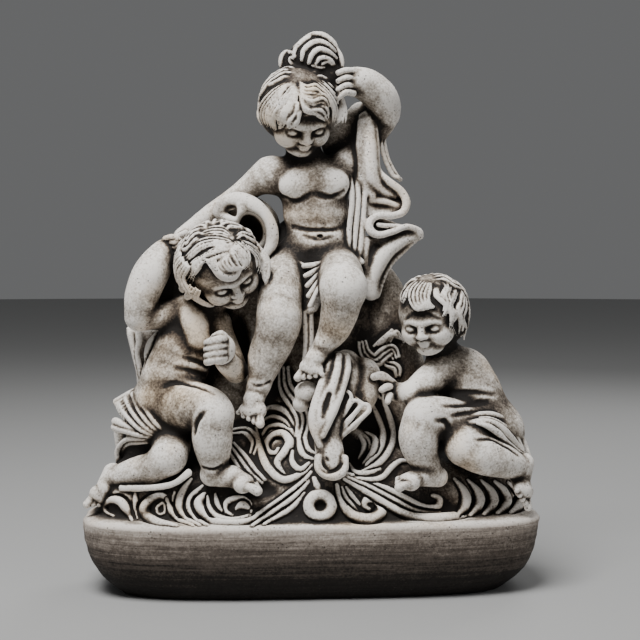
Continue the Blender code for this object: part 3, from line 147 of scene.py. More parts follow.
class Clay:
    """A grid of distances to the surface in millimetres, negative inside the stone."""

    def __init__(self, low, high, cell):
        self.cell = cell
        self.first = np.floor(np.asarray(low, float) / cell).astype(int)
        self.shape = np.ceil(np.asarray(high, float) / cell).astype(int) + 1 - self.first
        self.d = np.full(self.shape, FAR, np.float32)

    def window(self, low, high):
        start = np.clip(np.floor(low / self.cell).astype(int) - self.first, 0, self.shape)
        stop = np.clip(np.ceil(high / self.cell).astype(int) + 1 - self.first, 0, self.shape)
        if (stop <= start).any():
            return None, None
        part = tuple(slice(a, b) for a, b in zip(start, stop))
        x, y, z = (((first + np.arange(a, b)) * self.cell).astype(np.float32)
                   for first, a, b in zip(self.first, start, stop))
        return part, (x[:, None, None], y[None, :, None], z[None, None, :])

    def apply(self, part, distance, blend, cut):
        if cut:
            self.d[part] = -smooth_min(-self.d[part], distance, blend)
        else:
            self.d[part] = smooth_min(self.d[part], distance, blend)

    def ball(self, centre, radii, turn=None, blend=0.0, cut=False):
        centre = np.asarray(centre, float)
        radii = np.broadcast_to(np.asarray(radii, float), 3)
        reach = radii.max() + MARGIN + blend
        part, grid = self.window(centre - reach, centre + reach)
        if part is None:
            return
        x, y, z = (g - np.float32(c) for g, c in zip(grid, centre))
        if turn is not None:
            m = np.asarray(turn, np.float32)  # columns are the ball's own axes
            x, y, z = (m[0, k] * x + m[1, k] * y + m[2, k] * z for k in range(3))
        rx, ry, rz = radii.astype(np.float32)
        if rx == ry == rz:
            distance = np.sqrt(x * x + y * y + z * z) - rx
        else:
            size = np.sqrt((x / rx) ** 2 + (y / ry) ** 2 + (z / rz) ** 2)
            slope = np.sqrt((x / rx**2) ** 2 + (y / ry**2) ** 2 + (z / rz**2) ** 2)
            distance = size * (size - 1) / np.maximum(slope, 1e-6)
        self.apply(part, distance, blend, cut)

    def stretch(self, a, b, reach):
        """The grid round a line from a to b: how far along, and the way there from the line."""
        part, grid = self.window(np.minimum(a, b) - reach, np.maximum(a, b) + reach)
        if part is None:
            return None, None, None
        x, y, z = (g - np.float32(c) for g, c in zip(grid, a))
        ax, ay, az = (b - a).astype(np.float32)
        length2 = max(float(ax * ax + ay * ay + az * az), 1e-9)
        along = np.clip((x * ax + y * ay + z * az) / np.float32(length2), 0, 1)
        return part, along, (x - along * ax, y - along * ay, z - along * az)

    def rod(self, a, b, ra, rb):
        """One tapered capsule, joined sharply."""
        part, along, away = self.stretch(a, b, max(ra, rb) + MARGIN)
        if part is None:
            return
        x, y, z = away
        distance = np.sqrt(x ** 2 + y ** 2 + z ** 2)
        distance -= np.float32(ra) + along * np.float32(rb - ra)
        self.d[part] = np.minimum(self.d[part], distance)

    def plate(self, a, b, across_a, across_b, thick):
        """One stretch of a band from a to b, half widths as vectors, rounded edges, joined sharply."""
        reach = max(np.linalg.norm(across_a), np.linalg.norm(across_b)) + thick + MARGIN
        part, along, away = self.stretch(a, b, reach)
        if part is None:
            return
        x, y, z = away
        wx, wy, wz = (w + along * np.float32(v - w) for w, v in zip(across_a, across_b))
        half2 = wx * wx + wy * wy + wz * wz + np.float32(1e-6)
        over = np.clip((x * wx + y * wy + z * wz) / half2, -1, 1)
        distance = np.sqrt((x - over * wx) ** 2 + (y - over * wy) ** 2 + (z - over * wz) ** 2)
        self.d[part] = np.minimum(self.d[part], distance - np.float32(thick))

    def tube(self, points, radii, blend=0.0, cut=False):
        points = np.asarray(points, float)
        radii = np.broadcast_to(np.asarray(radii, float), len(points))
        reach = radii.max() + MARGIN + blend
        patch = Clay(points.min(0) - reach, points.max(0) + reach, self.cell)
        for k in range(len(points) - 1):
            patch.rod(points[k], points[k + 1], radii[k], radii[k + 1])
        self.merge(patch, blend, cut)

    def band(self, points, across, thick, blend):
        """A band along points, with half widths as vectors."""
        reach = np.linalg.norm(across, axis=1).max() + thick + MARGIN + blend
        patch = Clay(points.min(0) - reach, points.max(0) + reach, self.cell)
        for k in range(len(points) - 1):
            patch.plate(points[k], points[k + 1], across[k], across[k + 1], thick)
        self.merge(patch, blend)

    def merge(self, other, blend=0.0, cut=False):
        start = np.maximum(self.first, other.first)
        stop = np.minimum(self.first + self.shape, other.first + other.shape)
        if (stop <= start).any():
            return
        mine = tuple(slice(a, b) for a, b in zip(start - self.first, stop - self.first))
        theirs = tuple(slice(a, b) for a, b in zip(start - other.first, stop - other.first))
        self.apply(mine, other.d[theirs], blend, cut)

    def soften(self, times):
        """Eases joins and ripples; only the layer near the surface counts."""
        d = np.clip(self.d, -MARGIN, MARGIN)
        for _ in range(times):
            for axis in range(3):
                e = np.concatenate([np.take(d, [0], axis), d, np.take(d, [-1], axis)], axis)
                n = d.shape[axis]
                cut = [slice(None)] * 3
                parts = []
                for k in range(3):
                    cut[axis] = slice(k, k + n)
                    parts.append(e[tuple(cut)])
                d = (0.25 * parts[0] + 0.5 * parts[1] + 0.25 * parts[2]).astype(np.float32)
        self.d = d

    def sample(self, points):
        """Trilinear distance at world points."""
        g = np.asarray(points, float) / self.cell - self.first
        g = np.clip(g, 0, np.array(self.shape) - 1.001)
        i = g.astype(int)
        f = g - i
        total = 0
        for dx in (0, 1):
            for dy in (0, 1):
                for dz in (0, 1):
                    w = abs(1 - dx - f[..., 0]) * abs(1 - dy - f[..., 1]) * abs(1 - dz - f[..., 2])
                    total = total + w * self.d[i[..., 0] + dx, i[..., 1] + dy, i[..., 2] + dz]
        return total


def smooth(knots, steps):
    """Catmull-Rom through the knots (any number of columns), steps stretches between neighbours."""
    k = np.asarray(knots, float)
    k = np.vstack([2 * k[0] - k[1], k, 2 * k[-1] - k[-2]])
    t = (np.arange(steps) / steps)[:, None]
    out = []
    for p0, p1, p2, p3 in zip(k[:-3], k[1:-2], k[2:-1], k[3:]):
        linear = 2 * p1 + (p2 - p0) * t
        square = (2 * p0 - 5 * p1 + 4 * p2 - p3) * t**2
        cube = (3 * p1 - p0 - 3 * p2 + p3) * t**3
        out.append(0.5 * (linear + square + cube))
    return np.vstack(out + [k[-2:-1]])


def surface(clay):
    """Surface nets: vertices and quads of the zero level."""
    inside = clay.d < 0
    n = np.array(inside.shape) - 1
    count = np.zeros(n, np.uint8)
    corners = [(a, b, c) for a in (0, 1) for b in (0, 1) for c in (0, 1)]
    for a, b, c in corners:
        count += inside[a:a + n[0], b:b + n[1], c:c + n[2]]
    cells = np.flatnonzero((count > 0) & (count < 8))
    del count
    i, j, k = np.unravel_index(cells, n)
    values = {c: clay.d[i + c[0], j + c[1], k + c[2]] for c in corners}
    total = np.zeros((len(cells), 3))
    hits = np.zeros(len(cells))
    for a in corners:
        for axis in range(3):
            if a[axis]:
                continue
            b = tuple(v + (m == axis) for m, v in enumerate(a))
            va, vb = values[a], values[b]
            crossing = (va < 0) != (vb < 0)
            t = np.where(crossing, va / np.where(crossing, va - vb, 1), 0)
            for m in range(3):
                total[:, m] += np.where(crossing, a[m] + (t if m == axis else 0), 0)
            hits += crossing
    points = (np.stack([i, j, k], 1) + total / hits[:, None] + clay.first) * clay.cell
    quads = []
    stride = np.array([n[1] * n[2], n[2], 1])
    for axis in range(3):
        u, v = (axis + 1) % 3, (axis + 2) % 3
        lower = [slice(None)] * 3
        upper = [slice(None)] * 3
        lower[axis], upper[axis] = slice(0, -1), slice(1, None)
        change = inside[tuple(lower)] != inside[tuple(upper)]
        e = np.stack(np.nonzero(change), 1)
        e = e[(e[:, u] > 0) & (e[:, v] > 0) & (e[:, u] < n[u]) & (e[:, v] < n[v])]
        out = inside[tuple(e.T)]
        base = e @ stride
        ring = np.stack([base - stride[u] - stride[v], base - stride[v], base, base - stride[u]], 1)
        ring = np.searchsorted(cells, ring)
        ring[~out] = ring[~out][:, ::-1]
        quads.append(ring)
    return points, np.vstack(quads)


def at(u, v, y):
    """The point y behind the middle plane that shows at u, v on the front elevation."""
    s = (VIEW_DISTANCE + y) / VIEW_DISTANCE
    x, z = u * s, VIEW_HEIGHT + (v - VIEW_HEIGHT) * s
    c, w = math.cos(VIEW_YAW), math.sin(VIEW_YAW)
    return np.array([x * c + y * w, y * c - x * w, z])


def path(*knots, steps):
    """Elevation knots (u, v, y, r) as a smooth line: points and radii."""
    k = np.array([[*at(a, b, c), r] for a, b, c, r in knots])
    k = smooth(k, steps)
    return k[:, :3], k[:, 3]


def limb(clay, *knots, blend, steps=5, cut=False):
    """A tapered tube through elevation knots (u, v, y, r)."""
    p, r = path(*knots, steps=steps)
    clay.tube(p, r, blend, cut)


def mass(clay, u, v, y, radii, blend):
    """A ball of flesh at an elevation point."""
    clay.ball(at(u, v, y), radii, blend=blend)


def rotation(yaw=0.0, pitch=0.0, roll=0.0):
    """Columns: a head's own right, back and up. Yaw turns it to +x, pitch bows it, roll leans it to -x."""
    a, b, c = (math.radians(t) for t in (yaw, pitch, roll))
    about_z = np.array([[math.cos(a), -math.sin(a), 0], [math.sin(a), math.cos(a), 0], [0, 0, 1]])
    about_x = np.array([[1, 0, 0], [0, math.cos(b), -math.sin(b)], [0, math.sin(b), math.cos(b)]])
    about_y = np.array([[math.cos(c), 0, -math.sin(c)], [0, 1, 0], [math.sin(c), 0, math.cos(c)]])
    return about_y @ about_z @ about_x


class Place:
    """A local frame: millimetres along its own axes times size."""

    def __init__(self, centre, axes, size):
        self.centre = centre
        self.axes = axes
        self.size = size

    def __call__(self, x, y, z):
        return self.centre + self.axes @ (np.array([x, y, z], float) * self.size)


TOP_HEAD = Place(at(-13, 464, -14), rotation(12, 37, 3), 1.08)
LEFT_HEAD = Place(at(-89, 312, -46), rotation(10, 42, 23), 1.08)
RIGHT_HEAD = Place(at(120, 262, -26), rotation(-30, 15, 3), 1.02)
HEADS = (TOP_HEAD, LEFT_HEAD, RIGHT_HEAD)
TOPKNOT = Place(at(1, 518, -10), rotation(0, 10, -10), 1.0)


def plinth(clay):
    """A boat-shaped plinth: a superellipse whose walls curve in to a smaller foot."""
    part, (x, y, z) = clay.window(np.array([-240.0, -110, GROUND]), np.array([240.0, 110, RIM + 14]))
    t = np.clip((RIM - z) / (RIM - GROUND), 0, 1)
    inset_x = 4 * t + 36 * t**3.0
    inset_y = 3 * t + 24 * t**3.0
    a, b = LENGTH / 2 - inset_x, DEPTH / 2 - inset_y
    n = PLAN_POWER
    reach = ((np.abs(x) / a) ** n + (np.abs(y) / b) ** n) ** (1 / n)
    slope = np.sqrt((x / a**2) ** 2 + (y / b**2) ** 2) + 1e-6
    wall = (reach - 1) * np.minimum(reach / slope, 60)
    top = z - RIM
    edge = RIM_ROUND
    q = np.maximum(wall + edge, 0) ** 2 + np.maximum(top + edge, 0) ** 2
    d = np.sqrt(q) + np.minimum(np.maximum(wall + edge, top + edge), 0) - edge
    d = np.maximum(d, GROUND - z + 0.01)
    clay.d[part] = np.minimum(clay.d[part], d.astype(np.float32))


def core(clay):
    """The mass of rock and water behind and under the figures, with a plain rocky back."""
    clay.ball((0, 8, 66), (168, 72, 62), blend=14)
    clay.ball((0, -4, 72), (130, 74, 88), blend=14)
    clay.ball((-120, 10, 75), (92, 58, 52), blend=14)
    clay.ball((120, 10, 75), (92, 58, 50), blend=14)
    limb(clay, (0, 100, 8, 60), (6, 190, 16, 46), (10, 270, 20, 38), (12, 330, 22, 30), (8, 372, 20, 22),
         blend=16)
    clay.ball((62, 24, 240), (44, 28, 80), blend=18)
    clay.ball((70, 26, 150), (70, 38, 70), blend=16)
    clay.ball((-86, 28, 170), (60, 34, 84), blend=16)
    clay.ball((-62, 28, 280), (44, 24, 60), blend=16)
    # seats under the two lower children
    clay.ball((178, 8, 106), (38, 34, 30), blend=14)
    clay.ball((-150, 12, 132), (38, 34, 40), blend=14)
    clay.ball((-176, 0, 90), (34, 40, 30), blend=14)
    # the back: a slab that narrows upwards, and ledges of rock on it
    slab = smooth([(0, 38, 84, 122), (0, 40, 170, 112), (-3, 40, 240, 80), (-7, 38, 284, 68),
                   (3, 36, 322, 36), (14, 34, 352, 14), (10, 32, 378, 3)], 4)
    clay.band(slab[:, :3], slab[:, 3:] * np.array([1, 0, 0]), 25, 16)
    rng = np.random.default_rng(4)
    for row in range(9):
        z = 66 + 35 * row
        reach = np.interp(z, slab[:, 2], slab[:, 3])
        centre = np.interp(z, slab[:, 2], slab[:, 0])
        number = 1 + int(reach / 28)
        for n in range(number):
            x = centre + 0.85 * reach * (2 * (n + 0.5) / number - 1) + rng.uniform(-8, 8)
            turn = rotation(rng.uniform(-40, 40), rng.uniform(-30, 30), rng.uniform(-35, 35))
            ledge = (x, 50, z + rng.uniform(-8, 8))
            radii = (rng.uniform(26, 40), rng.uniform(17, 23), rng.uniform(20, 30))
            clay.ball(ledge, radii, turn, 6)


def face(clay, p):
    """A calm child's face on its own axes: x right, y back, z up; 28 to the temple, 29 down to the chin."""
    s = p.size

    def b(centre, radii, blend, cut=False):
        clay.ball(p(*centre), np.array(radii) * s, p.axes, blend * s, cut)

    b((0, 3, 5), (29, 32, 29), 0)
    b((0, -8, -6), (24.5, 21.5, 21), 8)
    for side in (-1, 1):
        b((side * 13.5, -17.5, -10.5), (11.5, 10.5, 10.5), 6)
        b((side * 11.2, -28.5, -1.5), (7.0, 4.5, 4.2), 4, True)
        b((side * 11.6, -23.6, -2.0), (5.8, 5.0, 4.0), 1.0)
        b((side * 28, 6, -5), (4, 7, 9), 3)
        b((side * 31, 3, -4), (2.5, 4, 5.5), 2, True)
    b((0, -22.5, -22), (8, 7, 6), 5)
    b((0, -16, -25), (13, 11, 6), 6)
    clay.tube([p(-17, -23, 3.5), p(-9, -27.6, 5.2), p(0, -28.6, 4), p(9, -27.6, 5.2), p(17, -23, 3.5)],
              np.array([1.5, 2.3, 2.2, 2.3, 1.5]) * s, 4 * s)
    clay.tube([p(0, -28.2, 1), p(0, -30.4, -3.5), p(0, -33.2, -8)], np.array([2.3, 2.7, 3.5]) * s,
              3.0 * s)
    for side in (-1, 1):
        b((side * 3.8, -30.8, -8.8), (2.6, 3, 2.2), 1.5)
        b((side * 2.2, -33.4, -11.0), (1.2, 1.4, 0.9), 0.5, True)
        angles = np.linspace(math.pi, 2 * math.pi, 9)
        lid = [p(side * (11.6 + 6.4 * math.cos(t)), -28.0 + 2.2 * math.cos(t) ** 2,
                 -3.6 + 1.6 * math.sin(t)) for t in angles]
        clay.tube(lid, 0.75 * s, 0.5 * s, True)
        angles = np.linspace(0.1, math.pi - 0.1, 9)
        fold = [p(side * (11.6 + 7.0 * math.cos(t)), -27.8 + 2.8 * math.cos(t) ** 2,
                  -1.6 + 3.9 * math.sin(t)) for t in angles]
        clay.tube(fold, 0.75 * s, 0.5 * s, True)
        clay.tube([p(side * 8, -26.5, -8), p(side * 9.5, -26.0, -12), p(side * 9.0, -25.5, -15)], 0.5 * s,
                  1.5 * s, True)
    upper = ((-6.5, -15.4), (-3.4, -14.2), (0, -14.7), (3.4, -14.2), (6.5, -15.4))
    lower = ((-5.2, -16.6), (-2.5, -17.8), (0, -18.2), (2.5, -17.8), (5.2, -16.6))
    for lip, front, radii in ((upper, -30.0, [0.8, 1.8, 1.6, 1.8, 0.8]),
                              (lower, -29.4, [0.8, 1.9, 2.1, 1.9, 0.8])):
        clay.tube([p(x, front + 0.05 * x * x, z) for x, z in lip], np.array(radii) * s, 1.2 * s)
    slit = [p(x, -32.0 + 0.055 * x * x, -16.0 + 0.008 * x * x) for x in (-7.4, -4, 0, 4, 7.4)]
    clay.tube(slit, 0.8 * s, 0.4 * s, True)


def scalp(p, azimuth, elevation, lift):
    """A point of the scalp. Azimuth 0 is over the brow and runs to the figure's +x side. Degrees."""
    a, e = math.radians(azimuth), math.radians(elevation)
    r = SCALP + lift
    return p(r[0] * math.sin(a) * math.cos(e), 3 - r[1] * math.cos(a) * math.cos(e),
             5 + r[2] * math.sin(e))


def on_scalp(p, u, v, lift, ball=SCALP, middle=(0, 3, 5)):
    """The point of the scalp, raised by lift, that shows at u, v, or else the point beside its edge."""
    eye = at(0, VIEW_HEIGHT, -VIEW_DISTANCE)
    ray = at(u, v, 0) - eye
    radii = (ball + lift) * p.size
    start = (p.axes.T @ (eye - p(*middle))) / radii
    ahead = (p.axes.T @ ray) / radii
    a, b, c = ahead @ ahead, start @ ahead, start @ start - 1
    return eye + ray * (-b - math.sqrt(max(b * b - a * c, 0))) / a


def comb(clay, p, first, last, count, lift):
    """Strands combed side by side between two edges given as elevation knots (u, v), thin at their tips."""
    a = smooth(np.array(first, float), 5)
    b = smooth(np.array(last, float), 5)
    s = np.linspace(0, 1, len(a))
    step = np.linalg.norm(b - a, axis=1) / (count - 1)
    radius = np.clip(STRAND * step, 1.0, 3.4) * np.interp(s, (0, 0.12, 0.72, 1), (0.7, 1, 1, 0.35))
    for n in range(count):
        t = n / (count - 1)
        swell = 1.6 * math.sin(math.pi * (0.15 + 0.7 * t))
        line = a * (1 - t) + b * t
        points = [on_scalp(p, u, v, lift + swell * math.sin(math.pi * w)) for (u, v), w in zip(line, s)]
        clay.tube(points, radius, 0.4)


TOP_LOCKS = (
    ([(-19, 498), (-33, 492), (-45, 482), (-53, 469), (-52, 457), (-45, 449)],
     [(-17, 496), (-26, 489), (-36, 476), (-42, 466), (-42, 456), (-40, 448)], 5),
    ([(-17, 496), (-24, 487), (-34, 475), (-40, 465), (-40, 455), (-37, 448)],
     [(-15, 493), (-20, 484), (-28, 475), (-34, 467), (-37, 459), (-35, 449)], 3),
    ([(-15, 492), (-21, 482), (-30, 471), (-34, 462), (-33, 450)],
     [(-13, 491), (-15, 479), (-19, 469), (-24, 460), (-29, 451)], 5),
    ([(-14, 475), (-16, 466), (-21, 459), (-25, 451)],
     [(-13, 469), (-14, 462), (-16, 457), (-23, 450)], 2),
    ([(-13, 497), (-5, 492), (4, 493), (11, 487), (17, 484)],
     [(-13, 493), (-7, 486), (2, 485), (9, 484), (15, 479)], 3),
    ([(-12, 492), (-8, 484), (0, 481), (9, 484), (16, 479), (17, 472)],
     [(-12, 487), (-8, 479), (0, 474), (8, 476), (13, 473), (15, 466)], 3),
    ([(-12, 484), (-8, 476), (-1, 471), (9, 472), (15, 468), (17, 460)],
     [(-12, 478), (-9, 470), (-3, 466), (4, 466), (9, 462), (14, 457)], 3),
    ([(6, 498), (15, 491), (23, 481), (27, 470), (27, 459), (23, 452)],
     [(4, 493), (12, 485), (17, 477), (21, 469), (21, 461), (20, 453)], 4),
    ([(15, 498), (24, 491), (31, 479), (34, 466), (33, 455)],
     [(9, 498), (18, 489), (26, 479), (29, 468), (28, 457)], 3),
)
LEFT_LOCKS = (
    ([(-78, 343), (-87, 354), (-99, 355), (-111, 350), (-117, 341)],
     [(-79, 340), (-89, 344), (-99, 345), (-109, 343), (-117, 339)], 5),
    ([(-79, 338), (-90, 341), (-101, 342), (-112, 339), (-120, 332), (-128, 324), (-134, 317)],
     [(-80, 334), (-90, 334), (-101, 334), (-111, 330), (-118, 324), (-125, 318), (-131, 312)], 4),
    ([(-80, 333), (-89, 332), (-99, 331), (-109, 325), (-117, 320), (-124, 312), (-134, 301)],
     [(-82, 330), (-90, 328), (-99, 325), (-108, 321), (-114, 315), (-120, 307), (-126, 299)], 4),
    ([(-82, 328), (-92, 324), (-101, 321), (-109, 320), (-115, 314), (-121, 305), (-126, 297)],
     [(-84, 325), (-93, 321), (-101, 318), (-108, 317), (-112, 311), (-117, 304), (-120, 296)], 3),
    ([(-82, 328), (-90, 324), (-96, 320), (-93, 314), (-87, 308), (-80, 306), (-73, 309), (-68, 313)],
     [(-86, 327), (-98, 322), (-104, 318), (-99, 310), (-93, 303), (-85, 300), (-77, 301),
      (-71, 307)], 4),
    ([(-81, 330), (-80, 322), (-76, 316), (-71, 312), (-66, 312)],
     [(-88, 326), (-92, 318), (-89, 311), (-82, 308), (-74, 308)], 5),
    ([(-79, 334), (-77, 327), (-73, 320), (-69, 314)],
     [(-82, 331), (-81, 323), (-78, 317), (-75, 312)], 3),
    ([(-76, 346), (-71, 350), (-65, 349), (-60, 346)],
     [(-75, 341), (-69, 344), (-62, 340), (-54, 336)], 3),
    ([(-76, 339), (-70, 334), (-64, 328), (-62, 321), (-63, 314), (-59, 307)],
     [(-79, 336), (-75, 328), (-71, 322), (-68, 316), (-68, 312), (-64, 308)], 4),
    ([(-73, 341), (-60, 334), (-51, 325), (-48, 315), (-50, 306)],
     [(-75, 338), (-65, 332), (-57, 324), (-55, 315), (-57, 307)], 4),
    ([(-70, 342), (-57, 336), (-46, 325), (-43, 314), (-45, 300), (-46, 292)],
     [(-71, 341), (-59, 334), (-49, 325), (-46, 314), (-48, 303), (-46, 295)], 2),
)
RIGHT_LOCKS = (
    ([(110, 301), (100, 290), (99, 279), (106, 270), (122, 272)],
     [(119, 298), (118, 290), (116, 284), (117, 278), (123, 274)], 6),
    ([(109, 302), (98, 296), (91, 288), (88, 279)],
     [(106, 298), (99, 292), (95, 285), (90, 275)], 3),
    ([(122, 293), (123, 284), (129, 278), (134, 272), (130, 263)],
     [(126, 292), (127, 285), (133, 280), (136, 274), (134, 264)], 3),
    ([(123, 301), (133, 294), (130, 285), (133, 277), (131, 269)],
     [(126, 304), (138, 295), (136, 285), (138, 276), (136, 267)], 3),
    ([(128, 305), (141, 294), (139, 284), (136, 275), (139, 265), (138, 255), (139, 246)],
     [(131, 305), (145, 293), (143, 282), (140, 274), (144, 264), (141, 255), (145, 244)], 3),
    ([(134, 303), (147, 290), (148, 279), (145, 269), (148, 259), (147, 246)],
     [(136, 302), (151, 284), (153, 272), (150, 262), (153, 252), (152, 240)], 3),
)


def lock(clay, p, knots, width, lift):
    """A lock of hair along scalp knots (azimuth, elevation, lift): three strands that meet at its tip."""
    k = smooth(np.array(knots, float), 6)
    line = np.array([scalp(p, a, e, lift + c) for a, e, c in k])
    t = np.linspace(0, 1, len(line))
    along = np.gradient(line, axis=0)
    along /= np.linalg.norm(along, axis=1, keepdims=True) + 1e-9
    out = line - p(0, 3, 2)
    out /= np.linalg.norm(out, axis=1, keepdims=True)
    side = np.cross(along, out)
    swell = 0.25 + 0.75 * np.sin(math.pi * np.clip(0.22 + 0.74 * t, 0, 1)) ** 0.8
    pitch = width / 3
    thickness = 0.45 * pitch * (0.4 + 0.75 * swell)
    for n in (-1, 0, 1):
        mid = 1 - abs(n) / 2
        pts = line + side * (n * pitch * swell)[:, None] + out * (mid * 2.0 * swell)[:, None]
        clay.tube(pts, thickness, 0.5)
        clay.tube(pts + out * (0.75 * thickness)[:, None], 0.5 * thickness, 0.8)


# Tiers of locks: the elevation of their roots and their number; none grow within BARE of the brow, degrees
TIERS = ((10, 15), (36, 15), (60, 11), (84, 7))
BARE = 95


def hair(clay, p, seed, locks, low, wave, thick, part, brow=0.0):
    """Locks in tiers from the nape up round the back of the head, then the combed locks over the brow."""
    rng = np.random.default_rng(seed)
    s = p.size
    cap = Clay(p.centre - 50 * s, p.centre + 50 * s, clay.cell)
    cap.ball(p(0, 6, 7), np.array([30, 32, 30]) * s + thick, p.axes)
    cap.ball(p(0, 14, -8), np.array([29, 24, 22]) * s + thick * 0.6, p.axes, 6)
    # the brow and face stay clear of the cap
    cap.ball(p(0, -40, -22 - brow), np.array([34, 36, 40]) * s, p.axes, 3, True)
    clay.merge(cap, 2)
    for tier, (top, number) in enumerate(TIERS):
        for n in range(number):
            az = -180 + 360 * (n + 0.5 * (tier % 2)) / number + rng.uniform(-4, 4)
            if abs(az) < BARE:
                continue
            bottom = max(low + rng.uniform(-2, 3), top - 54)
            middle = math.radians((top + bottom) / 2)
            width = 1.3 * 2 * math.pi * 31 * s * math.cos(middle) / number
            away = min(max(1.3 * math.sin(math.radians(az - part)), -1), 1)
            bend = away * wave * rng.uniform(0.8, 1.3) / max(math.cos(middle), 0.6)
            knots = [(az, top, -0.6 * thick),
                     (az + bend * 0.9, top * 0.68 + bottom * 0.32, 0.1 * thick),
                     (az + bend * 0.3, top * 0.3 + bottom * 0.7, 0.3 * thick),
                     (az + bend * 1.5, bottom, 0.2 * thick)]
            lock(clay, p, knots, width, thick * 0.3)
    for first, last, count in locks:
        comb(clay, p, first, last, count, thick)


def carved_head(p, reach, cell, seed, locks, **manner):
    """A child's head with its hair, on a grid of its own."""
    head = Clay(p.centre - reach, p.centre + reach, cell)
    face(head, p)
    head.soften(1)
    hair(head, p, seed, locks, **manner)
    return head


def edges(first, last):
    """Two edges of cloth as smooth lines, from elevation knots (u, v, y)."""
    return [smooth([at(*k) for k in edge], 6) for edge in (first, last)]


def folds(clay, first, last, count, radius, blend):
    """Cloth folds side by side between two edges."""
    a, b = edges(first, last)
    r0, r1 = radius if isinstance(radius, tuple) else (radius, radius)
    for n in range(count):
        t = n / max(count - 1, 1)
        clay.tube(a * (1 - t) + b * t, np.linspace(r0, r1, len(a)), blend)


def sheet(clay, first, last, thick):
    """A smooth sheet of cloth between two edges."""
    a, b = edges(first, last)
    clay.band((a + b) / 2, (a - b) / 2, thick, 1.5)


def foot(clay, heel, toes, sole, size, big=-1):
    """A bare foot from heel to toe tips; sole is where its underside faces, big the big toe's side."""
    heel, toes, sole = (np.asarray(v, float) for v in (heel, toes, sole))
    ahead = toes - heel
    length = np.linalg.norm(ahead)
    ahead /= length
    sole = sole - ahead * (sole @ ahead)
    sole /= np.linalg.norm(sole)
    side = np.cross(ahead, sole) * -big
    s = size
    clay.tube([heel, heel + ahead * length * 0.40 - sole * 2 * s,
               heel + ahead * length * 0.66 + sole * 2 * s], np.array([9.5, 9, 7.5]) * s, 4.0)
    ball = heel + ahead * length * 0.66
    clay.tube([ball - side * 6 * s + sole * 1.5 * s, ball + side * 7 * s + sole * 2.5 * s],
              np.array([7.0, 5.0]) * s, 4.0)
    for n in range(5):
        across = (-9.0 + 4.9 * n) * s
        reach = length * (1.0 - 0.05 * n**1.2)
        r = (4.2 if n == 0 else 3.1 - 0.15 * n) * s
        base = ball + side * across * 0.8 + sole * 2.5 * s
        tip = heel + ahead * reach + side * across * 1.12 + sole * 3.0 * s
        middle = (base + tip) / 2 - sole * 1.2 * s
        clay.tube([base, middle, tip], np.array([r, r * 0.82, r]), 0.5 * s)


def finger(clay, knots, radius, blend):
    """A finger from its root to its tip."""
    k = smooth(np.array(knots, float), 3)
    clay.tube(k, np.linspace(radius, radius * 0.8, len(k)), blend)


def crease(clay, *knots, depth, blend=2.0):
    """A crease cut along elevation knots (u, v, y), running out at both ends."""
    p, r = path(*[(a, b, c, depth) for a, b, c in knots], steps=6)
    shallow = 1 - np.sin(math.pi * np.linspace(0.02, 0.98, len(p))) ** 0.6
    clay.tube(on_skin(clay, p) + CREST * (shallow * (depth + 0.6 * blend))[:, None], r, blend, True)


def on_skin(clay, points):
    """Moves points along the view ray onto the clay's surface."""
    eye = at(0, VIEW_HEIGHT, -VIEW_DISTANCE)
    out = []
    for p in np.atleast_2d(points):
        ray = (p - eye) / np.linalg.norm(p - eye)
        t = np.arange(-70, 70, clay.cell * 0.5)
        line = p + ray * t[:, None]
        d = clay.sample(line)
        hit = np.flatnonzero(d < 0)
        out.append(line[hit[0]] if len(hit) else p)
    return np.array(out)


def drape(clay, uv, lift=0.0):
    """The clay's nearest surface behind each elevation point, lift millimetres nearer the viewer."""
    out = []
    for u, v in uv:
        a, b = at(u, v, DRAPE_FROM), at(u, v, DRAPE_TO)
        ray = (b - a) / np.linalg.norm(b - a)
        t = np.arange(0, np.linalg.norm(b - a), clay.cell * 0.5)
        d = clay.sample(a + ray * t[:, None])
        hit = np.flatnonzero(d < 0)
        out.append(a + ray * ((t[hit[0]] if len(hit) else t[-1]) - lift))
    out = np.array(out)
    for _ in range(2):
        out[1:-1] = 0.25 * out[:-2] + 0.5 * out[1:-1] + 0.25 * out[2:]
    return out


def stream(clay, ground, knots, ridges, gap=6.0):
    """Ridges of water side by side along an elevation line."""
    line = smooth(np.array(knots, float), 8)
    along = np.gradient(line, axis=0)
    along /= np.linalg.norm(along, axis=1, keepdims=True) + 1e-9
    side = np.stack([-along[:, 1], along[:, 0]], 1)
    t = np.linspace(0, 1, len(line))
    spread = 0.45 + 0.55 * np.sin(math.pi * np.clip(t * 0.7 + 0.15, 0, 1))
    r = 2.5 * (0.5 + 0.6 * np.sin(math.pi * np.clip(t, 0.06, 0.92)))
    for n in range(ridges):
        off = (n - (ridges - 1) / 2) * gap
        p = drape(ground, line + side * (off * spread)[:, None], 1.2)
        clay.tube(p, r, 0.5)
        clay.tube(p + CREST * r[:, None], 0.5 * r, 1.5)


